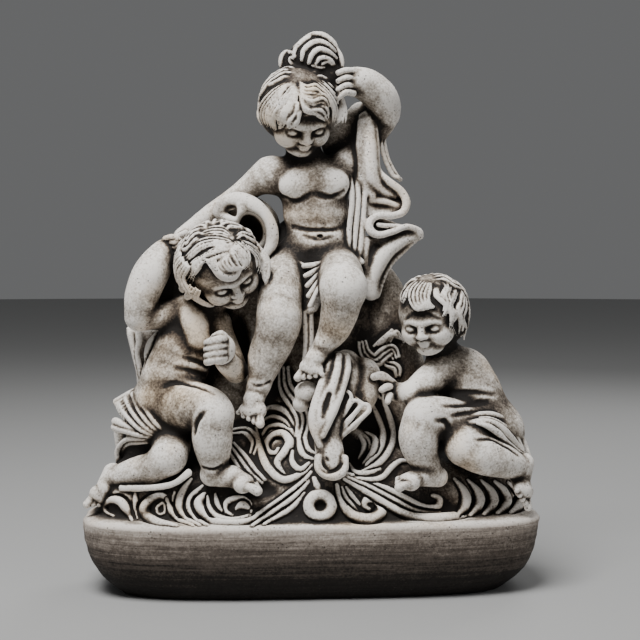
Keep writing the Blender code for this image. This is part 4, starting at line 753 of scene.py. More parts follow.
def top_putto(cell):
    """The child on top, seated, one arm raised behind the head and one reaching down."""
    f = Clay((-160, -120, 130), (125, 90, 560), cell)
    # trunk
    mass(f, 6, 316, 8, (37, 29, 27), 0)
    mass(f, 7, 338, 0, (34, 27, 25), 10)
    mass(f, 4, 366, 0, (33, 25, 26), 10)
    mass(f, 1, 396, 2, (38, 26, 27), 12)
    mass(f, -15, 394, -17, (17, 9, 14), 8)
    mass(f, 22, 396, -15, (15, 9, 13), 8)
    limb(f, (-4, 412, 8, 18), (-10, 436, 2, 17), blend=10)
    mass(f, -34, 404, 4, (20, 18, 17), 10)
    mass(f, 33, 412, 8, (16, 17, 17), 10)
    # his right arm reaches down to the kneeling child's hand
    limb(f, (-42, 405, 4, 18), (-57, 396, 6, 13.5), (-77, 381, 8, 11.5), (-100, 366, 8, 10),
         (-117, 354, 6, 8.5), (-130, 344, 2, 8), blend=8)
    # his left arm is raised behind the head, and the hollow behind it is filled
    mass(f, 50, 452, 26, (20, 11, 26), 6)
    mass(f, 30, 440, 22, (22, 12, 26), 6)
    limb(f, (34, 412, 12, 17), (52, 436, 22, 15), (68, 455, 24, 14), (73, 468, 16, 15.5),
         (68, 482, 6, 17), (55, 493, -2, 16.5), (43, 497, -8, 14.5), (37, 497, -10, 12), blend=6)
    # legs: the right hangs to the rock, the left knee comes forward
    limb(f, (-22, 316, 2, 23), (-30, 296, -26, 23), (-33, 272, -46, 21.5), (-33, 258, -50, 20), blend=10)
    limb(f, (-32, 262, -50, 20), (-38, 240, -46, 20), (-46, 222, -44, 17.5), (-51, 204, -44, 13),
         (-53, 196, -46, 12), blend=7)
    limb(f, (22, 316, 2, 24), (28, 304, -34, 23), (31, 294, -62, 22), blend=10)
    limb(f, (32, 290, -64, 21), (27, 266, -58, 18), (22, 250, -54, 15), (14, 238, -56, 11), blend=7)
    f.soften(3)
    foot(f, at(-54, 192, -40), at(-64, 159, -66), (0.1, 0.55, -1), 1.12, big=1)
    foot(f, at(10, 232, -52), at(-6, 202, -70), (0.2, 0.6, -1), 1.0)
    crease(f, (-20, 352, -20), (-4, 350, -24), (8, 350, -26), (20, 350, -24), (31, 352, -20), depth=1.3,
           blend=3.5)
    crease(f, (-8, 344, -20), (6, 341, -26), (20, 343, -22), depth=1.0, blend=3.5)
    crease(f, (-30, 383, -20), (-16, 379, -24), (0, 385, -24), depth=0.7, blend=5)
    crease(f, (4, 385, -24), (18, 383, -24), (32, 387, -20), depth=0.6, blend=5)
    crease(f, (-62, 196, -50), (-53, 194, -58), (-42, 197, -54), depth=1.2)
    f.ball(on_skin(f, [at(8, 344, -26)])[0], (3.0, 3, 1.8), blend=1.0, cut=True)
    # head
    f.merge(carved_head(TOP_HEAD, 62, cell, 3, TOP_LOCKS, low=-28, wave=6, thick=5.0,
                        part=20), 3)
    topknot(f)
    # fingers of the raised hand on the topknot, and of the lower hand
    for n in range(4):
        v = 507 - 7.2 * n
        finger(f, [at(41, v, -18), at(34, v + 1, -24), at(26, v - 1.5 - n, -24)], 3.5, 1.2)
    for n in range(4):
        finger(f, [at(-126 - n * 1.5, 347 - 2 * n, -4), at(-136 - n, 342 - 3.4 * n, -13),
                   at(-143 + n, 334 - 3.6 * n, -15)], 3.3, 0.4)
    return f


BUN = np.array([24.0, 20.0, 22.0])
BUN_STRANDS = (
    ((-18, 520, 2.2), (-15, 530, 3.0), (-6, 538, 3.6), (4, 543, 3.6), (13, 541, 3.6), (21, 535, 3.2),
     (25, 529, 2.0)),
    ((-10, 518, 2.0), (-8, 527, 3.0), (0, 534, 3.4), (9, 535, 3.4), (17, 531, 3.2), (23, 526, 2.0)),
    ((-3, 515, 2.0), (0, 523, 3.0), (6, 528, 3.2), (13, 527, 3.2), (19, 524, 2.6), (24, 520, 1.6)),
    ((4, 515, 1.8), (8, 520, 2.6), (14, 520, 2.6), (19, 517, 2.4), (23, 511, 1.6)),
    ((25, 529, 2.0), (28, 522, 2.8), (29, 514, 2.8), (27, 505, 2.0)),
    ((10, 514, 1.6), (15, 517, 2.2), (20, 513, 2.2), (24, 506, 1.4)),
    ((-17, 525, 2.2), (-26, 525, 3.0), (-30, 518, 3.2), (-28, 510, 3.2), (-21, 503, 3.2),
     (-11, 502, 2.4)),
    ((-16, 522, 1.8), (-21, 519, 2.6), (-18, 513, 2.8), (-12, 509, 2.6), (-5, 509, 1.8)),
    ((-10, 507, 1.6), (-3, 505, 2.4), (4, 508, 2.4), (11, 505, 1.6)),
    ((-4, 501, 1.6), (4, 500, 2.4), (11, 503, 2.4), (19, 499, 1.6)),
    ((0, 513, 1.4), (6, 511, 2.0), (12, 511, 1.4)),
)


def topknot(f):
    """A bun on the crown: thick strands swept over to the right and a curl that hangs to the left."""
    k = TOPKNOT
    f.ball(k(0, 2, 0), BUN, k.axes, 2)
    f.ball(k(-20, 2, -5), (9, 6, 10), k.axes, 3)
    f.ball(k(15, -2, -13), (18, 14, 14), k.axes, 4)
    for strand in BUN_STRANDS:
        knots = smooth(np.array(strand, float), 6)
        f.tube([on_scalp(k, u, v, 0.0, BUN, (0, 2, 0)) for u, v, r in knots], knots[:, 2], 0.5)


def cloth_top(cell):
    """The seated child's drapery: a strap down the side, the loincloth, the long fall to the right."""
    f = Clay((-40, -110, 190), (130, 70, 480), cell)
    folds(f, [(38, 402, -6), (40, 380, -12), (37, 350, -14), (36, 322, -18)],
          [(50, 402, 0), (52, 380, -8), (50, 350, -10), (46, 322, -14)], 3, (2.4, 2.8), 0.8)
    # loincloth over the left hip, round between the legs
    folds(f, [(46, 322, -16), (26, 322, -30), (8, 316, -36), (-8, 314, -34)],
          [(50, 318, -20), (32, 312, -44), (12, 300, -48), (-2, 274, -50)], 5, (2.2, 2.6), 0.8)
    folds(f, [(-22, 324, -18), (-8, 315, -30), (8, 317, -34)],
          [(-20, 321, -18), (-8, 312, -30), (8, 313, -34)], 2, 1.8, 0.8)
    sheet(f, [(-8, 312, -26), (-10, 290, -30), (-6, 268, -34)],
          [(12, 306, -30), (10, 290, -34), (2, 272, -38)], 4)
    # the hanging end
    folds(f, [(-7, 268, -36), (-6, 240, -34), (-9, 206, -40)],
          [(-1, 268, -36), (-1, 240, -34), (-4, 206, -40)], 2, (2.4, 2.8), 0.8)
    # long fall: out from under the raised arm, then turned over twice
    sheet(f, [(50, 462, 14), (49, 435, 6), (49, 412, 2), (52, 396, 0), (57, 384, 0)],
          [(62, 462, 16), (64, 432, 10), (64, 412, 6), (74, 400, 4), (88, 389, 8)], 3.6)
    limb(f, (56, 464, 12, 5), (56, 440, 4, 8), (56, 420, -1, 9), (59, 402, -3, 8.5), (68, 391, 0, 6),
         (82, 384, 4, 4), blend=5)
    limb(f, (50, 456, 8, 3), (48, 432, 1, 4), (48, 410, -4, 4), (53, 394, -5, 3.6), (60, 384, -4, 3),
         blend=5)
    limb(f, (62, 456, 10, 2.6), (64, 430, 4, 3), (65, 410, 0, 3.4), (75, 399, -2, 3.8), (88, 389, 0, 4.0),
         (94, 378, 0, 4.2), (91, 368, -2, 4.0), (80, 364, -6, 3.6), (66, 364, -10, 3.6),
         (58, 358, -12, 4.0), (58, 350, -14, 4.2), (66, 345, -14, 3.8), (80, 348, -10, 3.4),
         (94, 353, -3, 3.2), (106, 349, 5, 3.4), (108, 344, 8, 3.0), blend=4, steps=6)
    sheet(f, [(54, 386, 3), (56, 376, 4), (58, 366, 2)], [(88, 388, 9), (89, 378, 8), (84, 368, 4)], 4)
    limb(f, (60, 380, -1, 3.0), (74, 378, 0, 2.8), (86, 374, 3, 2.4), blend=4)
    sheet(f, [(60, 362, -4), (60, 352, -6), (60, 344, -8)], [(92, 352, 2), (96, 350, 2), (104, 346, 8)],
          3)
    limb(f, (66, 355, -10, 2.4), (74, 354, -9, 2.6), (86, 354, -5, 2.2), blend=2)
    sheet(f, [(52, 342, -6), (51, 326, -6), (53, 306, -6), (57, 286, -8)],
          [(104, 344, 10), (90, 330, 8), (74, 312, 4), (64, 286, -2)], 4.6)
    limb(f, (104, 345, 7, 3.4), (88, 338, 0, 6.0), (74, 328, -5, 8.0), (64, 313, -7, 8.5),
         (59, 298, -8, 7.5), (60, 286, -8, 5), blend=6)
    limb(f, (54, 338, -9, 3), (52, 320, -10, 3.6), (54, 300, -10, 3.2), (58, 288, -10, 2.4), blend=4)
    # the back edge
    folds(f, [(66, 452, 18), (71, 425, 18), (80, 405, 18), (86, 402, 18)],
          [(70, 448, 22), (75, 422, 22), (84, 404, 22), (88, 400, 22)], 2, 2.4, 1.0)
    return f


def jug(cell):
    """A thick curled shell rim behind the kneeling child's head, dark inside."""
    f = Clay((-110, -60, 300), (-10, 60, 400), cell)
    f.ball(at(-64, 350, 16), (33, 26, 34), rotation(0, 0, 8), 0)
    limb(f, (-92, 368, -10, 7), (-86, 376, -14, 8), (-73, 379, -17, 8.5), (-59, 374, -19, 8.5),
         (-48, 364, -19, 8), (-41, 351, -19, 7.5), (-40, 338, -19, 6.5), (-45, 327, -20, 5), blend=3,
         steps=4)
    # its left end is turned in as a flap
    limb(f, (-72, 377, -20, 5), (-70, 369, -23, 5), (-73, 360, -22, 3), blend=2)
    limb(f, (-91, 366, -13, 4.5), (-82, 361, -18, 4), (-73, 359, -21, 3), blend=2)
    f.soften(2)
    f.ball(at(-60, 350, -22), (13, 40, 18), rotation(0, 0, 20), 3, True)
    f.ball(at(-82, 370, -25), (7, 8, 5.5), rotation(0, 0, 10), 2, True)
    return f


def left_putto(cell):
    """The kneeling child at the left, one arm raised to the hair, the other fist before the belly."""
    f = Clay((-235, -125, 60), (-40, 70, 370), cell)
    mass(f, -146, 182, -16, (33, 33, 29), 0)
    mass(f, -138, 206, -22, (31, 29, 24), 10)
    mass(f, -130, 224, -20, (30, 26, 24), 10)
    mass(f, -122, 240, -16, (31, 25, 24), 10)
    limb(f, (-126, 274, -24, 11), (-118, 258, -36, 13.5), (-114, 242, -40, 11.5), blend=5)
    mass(f, -132, 262, -14, (20, 18, 16), 10)
    mass(f, -100, 258, -14, (18, 17, 15), 10)
    limb(f, (-112, 262, -16, 15), (-98, 282, -26, 15), blend=8)
    # raised arm: elbow out to the side, hand up at the back of the head, the hollow behind filled
    mass(f, -140, 290, -2, (24, 12, 26), 6)
    mass(f, -126, 304, -8, (24, 12, 26), 6)
    limb(f, (-134, 266, -20, 14), (-154, 264, -28, 13), (-172, 262, -32, 13), blend=6)
    limb(f, (-173, 263, -34, 14), (-170, 284, -36, 16.5), (-161, 306, -34, 17.5), (-149, 324, -26, 14.5),
         (-140, 334, -18, 10), blend=3)
    # the other arm: elbow low, fist held before the belly
    limb(f, (-96, 254, -20, 14), (-84, 228, -28, 12.5), (-76, 209, -38, 11.5), blend=7)
    limb(f, (-76, 209, -38, 11.5), (-84, 216, -56, 11), (-91, 228, -68, 10.5), blend=3)
    # bent leg: thigh forward, shin down
    limb(f, (-146, 174, -22, 27), (-126, 174, -44, 25), (-106, 172, -62, 21), (-98, 166, -68, 19),
         blend=9)
    limb(f, (-99, 162, -70, 19), (-100, 142, -68, 19.5), (-99, 126, -66, 16), (-99, 113, -66, 11),
         blend=5)
    # kneeling leg: knee forward on the water, shin back to the left
    limb(f, (-152, 168, -8, 24), (-142, 140, -34, 20), (-143, 124, -54, 18), blend=9)
    limb(f, (-146, 120, -58, 16), (-160, 112, -52, 15), (-178, 107, -44, 14.5), (-196, 102, -36, 11),
         blend=5)
    f.soften(3)
    foot(f, at(-101, 104, -62), at(-50, 95, -80), (0.1, 0.1, -1), 1.15)
    foot(f, at(-200, 107, -30), at(-217, 71, -42), (-0.2, 0.6, -0.6), 0.98)
    for n in range(4):
        finger(f, [at(-146 + 2.2 * n, 341 - 5.0 * n, -28), at(-138 + 1.8 * n, 343 - 5.2 * n, -36),
                   at(-130 + 1.5 * n, 338 - 5.0 * n, -33)], 3.3, 0.4)
    f.ball(at(-92, 231, -77), (14.5, 12, 15), blend=3)
    for n in range(4):
        v = 241 - 6.4 * n
        finger(f, [at(-89, v, -86), at(-95, v - 1, -92), at(-102, v - 3, -89), at(-105, v - 4, -80)], 4.2,
               1.0)
    finger(f, [at(-86, 241, -80), at(-91, 246, -85), at(-98, 243, -86)], 3.8, 1.0)
    crease(f, (-150, 193, -40), (-136, 197, -46), (-114, 193, -46), (-98, 187, -50), depth=1.6, blend=3.5)
    crease(f, (-136, 212, -44), (-120, 209, -46), (-106, 204, -44), depth=0.6, blend=5)
    crease(f, (-128, 222, -44), (-116, 219, -46), (-102, 212, -44), depth=0.5, blend=5)
    crease(f, (-108, 168, -86), (-115, 160, -76), (-119, 146, -64), depth=2.6, blend=3)
    crease(f, (-112, 112, -74), (-100, 110, -80), (-90, 113, -74), depth=1.2)
    p = LEFT_HEAD
    head = carved_head(p, 62, cell, 11, LEFT_LOCKS, low=-34, wave=13, thick=4.0, part=-25,
                       brow=9)
    # locks that stand out behind and fall past the cheek
    for n in range(5):
        start, end = -78 - 13 * n, -72 - 15 * n
        lock(head, p, [(start, 30, 4), (start - 6, 8, 6), (end, -10, 8), (end - 12, -26, 12)], 11, 2)
    for n in range(3):
        lock(head, p, [(-58 - 10 * n, 0, 4), (-66 - 10 * n, -20, 6), (-54 - 10 * n, -40, 6),
                       (-62 - 8 * n, -56, 6 + 2 * n)], 10, 2)
    f.merge(head, 3)
    return f


def cloth_left(cell):
    """The kneeling child's drapery: a ragged fall below the raised arm and an open swag round the hips."""
    f = Clay((-230, -90, 90), (-120, 60, 270), cell)
    edge = [(-182, 250, -6), (-178, 232, -4), (-173, 210, -2), (-171, 194, 0)]
    inner = [(-148, 248, -14), (-156, 226, -12), (-165, 208, -10), (-168, 194, -8)]
    sheet(f, [(u, v, y + 10) for u, v, y in edge], [(u, v, y + 12) for u, v, y in inner], 4)
    limb(f, (-182, 248, -6, 2.6), (-179, 232, -5, 2.4), (-175, 214, -3, 2.4), (-172, 198, -1, 2.2),
         blend=0.5)
    limb(f, (-173, 247, -9, 3.4), (-173, 238, -10, 3.2), (-175, 228, -9, 2.4), (-173, 216, -7, 2.6),
         (-171, 202, -5, 2.0), blend=0.5)
    limb(f, (-155, 245, -13, 3.4), (-161, 236, -14, 4.6), (-163, 226, -14, 5.2), (-163, 218, -13, 4.6),
         (-167, 208, -10, 3.4), (-170, 197, -6, 2.0), blend=0.5)
    limb(f, (-147, 247, -13, 2.4), (-152, 238, -15, 2.6), (-155, 228, -15, 2.4), (-157, 218, -14, 1.4),
         blend=0.5)
    # swag: bands that gather under the thigh
    gather = (-143, 142, -46)
    sheet(f, [(-172, 192, -20), (-168, 176, -36), (-156, 156, -46), gather],
          [(-196, 178, -4), (-186, 162, -24), (-166, 148, -42), gather], 3.4)
    folds(f, [(-172, 190, -26), (-166, 172, -42), (-156, 156, -50), gather],
          [(-192, 176, -10), (-184, 162, -30), (-168, 148, -46), gather], 4, (3.4, 2.2), 0.8)
    folds(f, [(-197, 158, -6), (-186, 154, -26), (-168, 147, -42), gather],
          [(-198, 152, -8), (-184, 148, -30), (-168, 144, -44), gather], 2, (4.0, 2.2), 0.8)
    folds(f, [(-194, 118, -4), (-195, 130, -10), (-186, 140, -24), (-166, 141, -40), gather],
          [(-190, 116, 0), (-190, 128, -6), (-183, 136, -20), (-166, 138, -38), gather], 2, (3.0, 2.4),
          0.8)
    sheet(f, [(-196, 156, 10), (-194, 136, 14), (-190, 116, 14)],
          [(-150, 150, 0), (-150, 132, 4), (-150, 116, 8)], 4)
    # a thin fold the kneeling leg rests on
    folds(f, [(-192, 92, -50), (-166, 92, -62), (-140, 96, -66), (-124, 108, -62)],
          [(-192, 90, -50), (-166, 90, -62), (-140, 94, -66), (-122, 106, -62)], 2, 2.2, 0.8)
    return f


def right_putto(cell):
    """The sitting child at the right, one hand on the dolphin's back."""
    f = Clay((50, -120, 50), (240, 70, 330), cell)
    mass(f, 176, 150, 0, (34, 34, 32), 0)
    mass(f, 168, 172, -4, (28, 28, 24), 12)
    mass(f, 158, 192, -6, (30, 27, 25), 12)
    mass(f, 146, 208, -4, (31, 25, 25), 12)
    mass(f, 134, 214, -10, (18, 17, 15), 10)
    mass(f, 152, 212, 2, (18, 17, 16), 10)
    limb(f, (136, 220, -8, 16), (126, 240, -14, 16), blend=8)
    # arm to the dolphin's back
    limb(f, (130, 210, -18, 16.5), (112, 196, -34, 14), (98, 186, -46, 10), blend=8)
    limb(f, (98, 187, -44, 10), (86, 188, -34, 9), (76, 192, -30, 8), blend=4)
    # raised knee
    limb(f, (166, 150, -10, 24), (146, 158, -34, 21), (126, 163, -52, 20), (114, 162, -60, 19), blend=9)
    limb(f, (111, 161, -62, 19), (107, 142, -62, 19.5), (110, 126, -58, 16), (118, 112, -54, 11), blend=5)
    # folded leg
    limb(f, (184, 148, -8, 28), (166, 146, -34, 22), (152, 137, -56, 19), blend=9)
    limb(f, (153, 131, -60, 18), (172, 124, -58, 19), (192, 118, -50, 16.5), (208, 112, -40, 11.5),
         blend=4)
    f.soften(3)
    foot(f, at(126, 102, -50), at(82, 98, -74), (0, 0.2, -1), 1.08, big=1)
    foot(f, at(213, 116, -34), at(209, 74, -48), (0.5, -0.5, 0), 1.05)
    finger(f, [at(80, 196, -32), at(70, 204, -42), at(62, 203, -48)], 5.0, 0.4)
    finger(f, [at(82, 189, -30), at(76, 193, -44), at(70, 190, -50)], 4.6, 0.4)
    finger(f, [at(84, 182, -32), at(78, 184, -44), at(76, 178, -50)], 4.2, 0.4)
    crease(f, (136, 186, -34), (158, 188, -36), (184, 185, -28), depth=0.9, blend=4)
    crease(f, (132, 174, -34), (150, 174, -38), (178, 178, -32), depth=1.2, blend=4)
    crease(f, (140, 163, -36), (156, 167, -38), (184, 169, -32), depth=1.0, blend=4)
    crease(f, (166, 140, -64), (180, 140, -60), (196, 132, -52), (208, 124, -44), depth=2.0)
    crease(f, (126, 158, -76), (134, 158, -64), (138, 150, -56), depth=2.2, blend=3)
    f.merge(carved_head(RIGHT_HEAD, 58, cell, 5, RIGHT_LOCKS, low=-34, wave=12, thick=3.4,
                        part=-20), 3)
    return f


def cloth_right(cell):
    """Folds of cloth round the sitting child's hips."""
    f = Clay((120, -90, 90), (240, 60, 200), cell)
    limb(f, (149, 159, -48, 2.6), (162, 163, -48, 3.2), (172, 165, -45, 3.6), (184, 164, -38, 3.4),
         (194, 158, -27, 3.0), (203, 149, -22, 3.0), (213, 137, -16, 2.6), (219, 121, -14, 2.2),
         blend=0.6)
    limb(f, (168, 162, -52, 1.4), (177, 161, -50, 2.4), (187, 157, -43, 2.6), (197, 150, -32, 2.4),
         (206, 140, -26, 2.2), (213, 128, -22, 1.6), blend=0.6)
    limb(f, (148, 155, -56, 2.0), (158, 156, -58, 3.0), (172, 158, -57, 3.6), (184, 155, -51, 3.8),
         (195, 147, -44, 3.6), (205, 136, -34, 2.8), (212, 126, -28, 2.0), blend=0.6)
    limb(f, (166, 156, -61, 1.6), (177, 153, -60, 3.0), (187, 146, -56, 3.4), (194, 138, -51, 3.0),
         (202, 132, -42, 2.4), (210, 126, -34, 1.6), blend=0.6)
    return f


def dolphin(cell):
    """The dolphin comes down off the rock head first, snout on the water."""
    f = Clay((-40, -125, 80), (110, 50, 270), cell)
    # smooth side of the body, the head's crown, and the snout below it
    limb(f, (52, 206, -22, 16), (51, 192, -33, 17), (46, 177, -44, 15), (36, 160, -56, 12), blend=6)
    limb(f, (34, 216, -24, 14), (32, 200, -40, 17), (25, 180, -54, 18), (17, 160, -62, 17),
         (16, 142, -68, 13.5), (18, 124, -75, 13.5), (21, 111, -78, 10.5), blend=4)
    f.ball(at(27, 219, -42), (13, 10, 9), blend=5)
    # brow plate, broad above and drawn to a point on the snout
    limb(f, (28, 220, -46, 8), (25, 206, -58, 9), (20, 190, -68, 9.5), (12, 170, -76, 9.5),
         (8, 154, -79, 7.5), (8, 138, -80, 4), blend=3)
    f.ball(at(-5, 188, -52), (12, 11, 10.5), blend=3)
    f.ball(at(-11, 176, -50), (8, 9, 8), blend=3)
    f.soften(2)
    limb(f, (20, 223, -50, 4.4), (15, 207, -62, 4.8), (9, 190, -71, 5.0), (2, 168, -79, 5.0),
         (2, 151, -81, 4.4), (8, 134, -83, 2.6), blend=3)
    limb(f, (34, 223, -48, 4.2), (35, 210, -60, 4.4), (30, 192, -70, 4.2), (24, 174, -79, 4.0),
         (17, 158, -83, 3.4), (11, 144, -84, 2.4), blend=3)
    limb(f, (27, 224, -53, 3.6), (25, 208, -66, 3.6), (20, 190, -76, 2.6), blend=3)
    limb(f, (17, 185, -80, 3.0), (14, 175, -84, 4.0), (11, 163, -87, 2.4), blend=2.5, cut=True)
    # fin: three scallop loops, each a rim round a hollow
    sheet(f, [(16, 152, -70), (26, 170, -67), (33, 188, -60)],
          [(26, 140, -72), (44, 156, -67), (57, 171, -60)], 2.6)
    for (au, av), (tu, tv), r in (((34, 183), (20, 152), 5.4), ((44, 175), (22, 147), 4.6),
                                  ((53, 171), (26, 142), 4.6)):
        along = np.array([au - tu, av - tv]) / math.hypot(au - tu, av - tv)
        left = np.array([-along[1], along[0]])
        rim = []
        for forward, out in ((-1.0, 0.1), (-0.4, 0.75), (0, 1.0), (0.6, 0.75), (1.0, 0), (0.6, -0.75),
                             (0, -1.0), (-0.4, -0.75), (-1.0, -0.1)):
            span = math.hypot(au - tu, av - tv) if forward < 0 else r
            q = np.array([au, av]) + along * forward * span + left * out * r
            rim.append((*q, -76 + 0.18 * (q[1] - 142) + (4 if forward <= -1 else 0), 2.0))
        p, r3 = path(*rim, steps=4)
        f.tube(p, r3, 0.6)
    # snout: two lips with the mouth between, a nostril
    limb(f, (6, 122, -86, 3.4), (7, 111, -88, 4.2), (14, 104, -89, 4.2), (24, 103, -88, 4.2),
         (32, 109, -86, 4.2), (33, 121, -82, 3.4), blend=3)
    crease(f, (5, 115, -92), (11, 109, -93), (17, 107, -93), (26, 111, -92), (33, 119, -90), depth=1.6,
           blend=1.5)
    crease(f, (14, 122, -92), (17, 118, -93), depth=1.2, blend=1.5)
    return f


def ribbon(clay, stone, ground, *knots):
    """One broad ridge of water along elevation knots (u, v, radius) in a groove of its own."""
    k = smooth(np.array(knots, float), 6)
    r = BREADTH * k[:, 2]
    k[:, 1] = np.maximum(k[:, 1], WATERLINE + r)
    p = drape(ground, k[:, :2])
    for body in (stone, clay):
        body.tube(p + CREST * r[:, None], 1.58 * r, 0.5, True)
    clay.tube(p + CREST * (0.1 * r)[:, None], r, 0.4)
    clay.tube(p + CREST * (0.6 * r)[:, None], 0.55 * r, 1.0)


RIBBONS = (
    # hooks and leaves of the front row, from the left end to the ring
    ((-181, 58, 1.4), (-184, 64, 2.8), (-187, 71, 3.8), (-193, 78, 3.6), (-202, 79, 2.8), (-208, 73, 2.2),
     (-206, 66, 1.8), (-199, 62, 1.4)),
    ((-178, 86, 1.2), (-177, 74, 2.6), (-175, 60, 1.2)),
    ((-136, 52, 1.5), (-153, 55, 3.4), (-165, 61, 4.4), (-169, 70, 4.4), (-164, 78, 3.6), (-155, 83, 3.0),
     (-148, 82, 2.4), (-145, 75, 1.6)),
    ((-146, 80, 1.4), (-143, 70, 3.2), (-134, 60, 3.4), (-120, 53, 1.4)),
    ((-150, 76, 1.3), (-156, 71, 1.6), (-154, 64, 1.6), (-148, 66, 1.6), (-148, 74, 1.3)),
    ((-138, 87, 1.2), (-138, 79, 2.4), (-135, 71, 1.2)),
    ((-121, 100, 1.6), (-129, 89, 3.0), (-133, 78, 3.6), (-132, 67, 3.4), (-124, 58, 2.8),
     (-113, 53, 1.4)),
    ((-110, 93, 1.4), (-121, 82, 3.0), (-123, 70, 3.4), (-116, 59, 2.8), (-106, 53, 1.4)),
    ((-1, 107, 1.4), (-12, 94, 2.4), (-25, 84, 2.6), (-41, 72, 2.8), (-61, 59, 3.4), (-84, 54, 4.2),
     (-98, 58, 4.8), (-110, 67, 4.8), (-114, 76, 4.4), (-108, 84, 2.6)),
    ((-3, 98, 1.2), (-14, 85, 2.4), (-28, 74, 2.6), (-44, 63, 2.6), (-60, 53, 1.6)),
    ((-8, 86, 1.2), (-18, 73, 2.2), (-32, 63, 2.6), (-48, 54, 1.6)),
    ((-105, 83, 1.2), (-103, 71, 2.6), (-94, 61, 3.2), (-76, 59, 2.4), (-60, 64, 1.6)),
    ((-61, 66, 1.2), (-63, 76, 2.0), (-73, 81, 2.6), (-85, 77, 2.8), (-87, 68, 2.4), (-80, 63, 1.6)),
    ((-76, 70, 1.4), (-70, 74, 3.4), (-64, 71, 2.0)),
    ((-97, 85, 1.2), (-95, 75, 2.4), (-90, 67, 1.4)),
    ((2, 100, 2.2), (5, 93, 3.0), (7, 86, 2.4)),
    # the curl right of the ring and the long streams to the right end
    ((25, 94, 1.8), (29, 79, 3.6), (39, 64, 4.4), (55, 59, 4.8), (67, 63, 4.8), (70, 72, 4.4),
     (64, 80, 4.0), (56, 80, 3.2), (52, 74, 2.6), (57, 69, 2.0)),
    ((30, 92, 1.2), (35, 80, 2.4), (45, 68, 1.2)),
    ((34, 92, 1.2), (40, 83, 2.2), (48, 74, 1.2)),
    ((32, 100, 1.6), (59, 84, 3.0), (85, 68, 3.6), (105, 60, 4.2), (137, 60, 4.6), (161, 66, 2.4)),
    ((37, 105, 1.6), (56, 96, 2.6), (76, 89, 2.8), (98, 78, 3.0), (113, 70, 3.6), (125, 71, 3.6),
     (128, 79, 3.0), (121, 83, 1.8)),
    ((36, 102, 1.2), (60, 91, 2.0), (86, 77, 2.2), (106, 67, 2.4), (128, 66, 1.6)),
    # left of the snout: the great scroll, its hooks, the arcs above it
    ((-28, 104, 1.6), (-35, 116, 3.0), (-28, 126, 3.8), (-22, 136, 4.2), (-28, 145, 3.8), (-39, 144, 3.2),
     (-46, 136, 2.8), (-44, 128, 2.6), (-37, 126, 2.2), (-34, 131, 1.8)),
    ((-50, 144, 1.4), (-44, 152, 2.2), (-33, 154, 2.4), (-22, 150, 2.2), (-16, 140, 1.4)),
    ((-56, 152, 1.4), (-52, 130, 3.0), (-44, 111, 3.4), (-30, 99, 3.2), (-14, 103, 2.8), (-1, 114, 1.6)),
    ((-20, 128, 1.4), (-20, 117, 2.4), (-12, 109, 2.4), (-3, 116, 1.4)),
    ((-13, 160, 1.4), (-13, 139, 2.6), (-9, 124, 2.6), (1, 120, 1.4)),
    ((-3, 152, 1.2), (-7, 141, 2.2), (-4, 130, 2.2), (4, 125, 1.2)),
    ((-56, 160, 1.4), (-47, 169, 2.6), (-36, 172, 2.8), (-25, 167, 2.6), (-17, 153, 1.4)),
    ((-54, 153, 1.2), (-46, 160, 2.0), (-37, 163, 2.2), (-27, 158, 2.0), (-22, 152, 1.2)),
    # right of the snout
    ((70, 182, 1.6), (78, 161, 2.8), (81, 140, 3.0), (74, 123, 2.8), (60, 111, 2.4), (40, 104, 1.4)),
    ((59, 178, 1.6), (67, 159, 2.8), (71, 143, 3.2), (66, 128, 3.0), (55, 114, 1.6)),
    ((54, 147, 1.2), (63, 140, 2.6), (62, 128, 2.6), (52, 115, 1.4)),
    ((48, 144, 1.2), (53, 133, 2.2), (47, 120, 1.2)),
    ((37, 116, 1.2), (43, 107, 2.2), (56, 106, 2.2), (68, 110, 1.2)),
    ((46, 101, 1.2), (60, 99, 2.2), (71, 102, 2.4), (79, 111, 2.4), (89, 118, 2.2), (99, 117, 1.4)),
)


def water(stone, ground):
    """Streams from under the dolphin's mouth, curling into scrolls over the whole mound."""
    w = Clay((-236, -125, 40), (240, 60, 262), stone.cell)
    for knots in RIBBONS:
        ribbon(w, stone, ground, *knots)
    turns = np.linspace(0, 2 * math.pi, 25)
    ring = np.array([(8 + 11.5 * math.cos(t), 73 + 11.5 * math.sin(t)) for t in turns])
    w.tube(drape(ground, ring, 2.0), 5.4, 1.0)
    for n in range(5):
        u = 143 + 13.5 * n
        ribbon(w, stone, ground, (u, 100 - n, 1.4), (u + 10, 87, 3.6), (u + 12, 74, 4.6),
               (u + 3, 62 + 0.8 * n, 2.0))
    # under the left knees
    stream(w, ground, [(-50, 96), (-62, 106), (-72, 120), (-82, 134)], 3, 6.0)
    stream(w, ground, [(-80, 148), (-66, 148), (-57, 138), (-60, 126)], 2, 5.6)
    # down the left of the dolphin
    stream(w, ground, [(-28, 212), (-26, 192), (-16, 176), (-9, 160), (-12, 142)], 3, 6.0)
    # foam under the sitting child's chin
    stream(w, ground, [(50, 238), (53, 226), (63, 219), (72, 226), (80, 230), (84, 222)], 3, 5.0)
    for n in range(5):
        stream(w, ground, [(62 + 4 * n, 234 + n), (72 + 3 * n, 242 + 1.5 * n - 2 * (n % 2)),
                           (80 + 3 * n, 250 - 3 * n)], 1)
    stream(w, ground, [(74, 216), (84, 212), (86, 204)], 2, 5.0)
    stream(w, ground, [(58, 204), (66, 190), (70, 182)], 2, 5.0)
    stone.merge(w, 0.8)


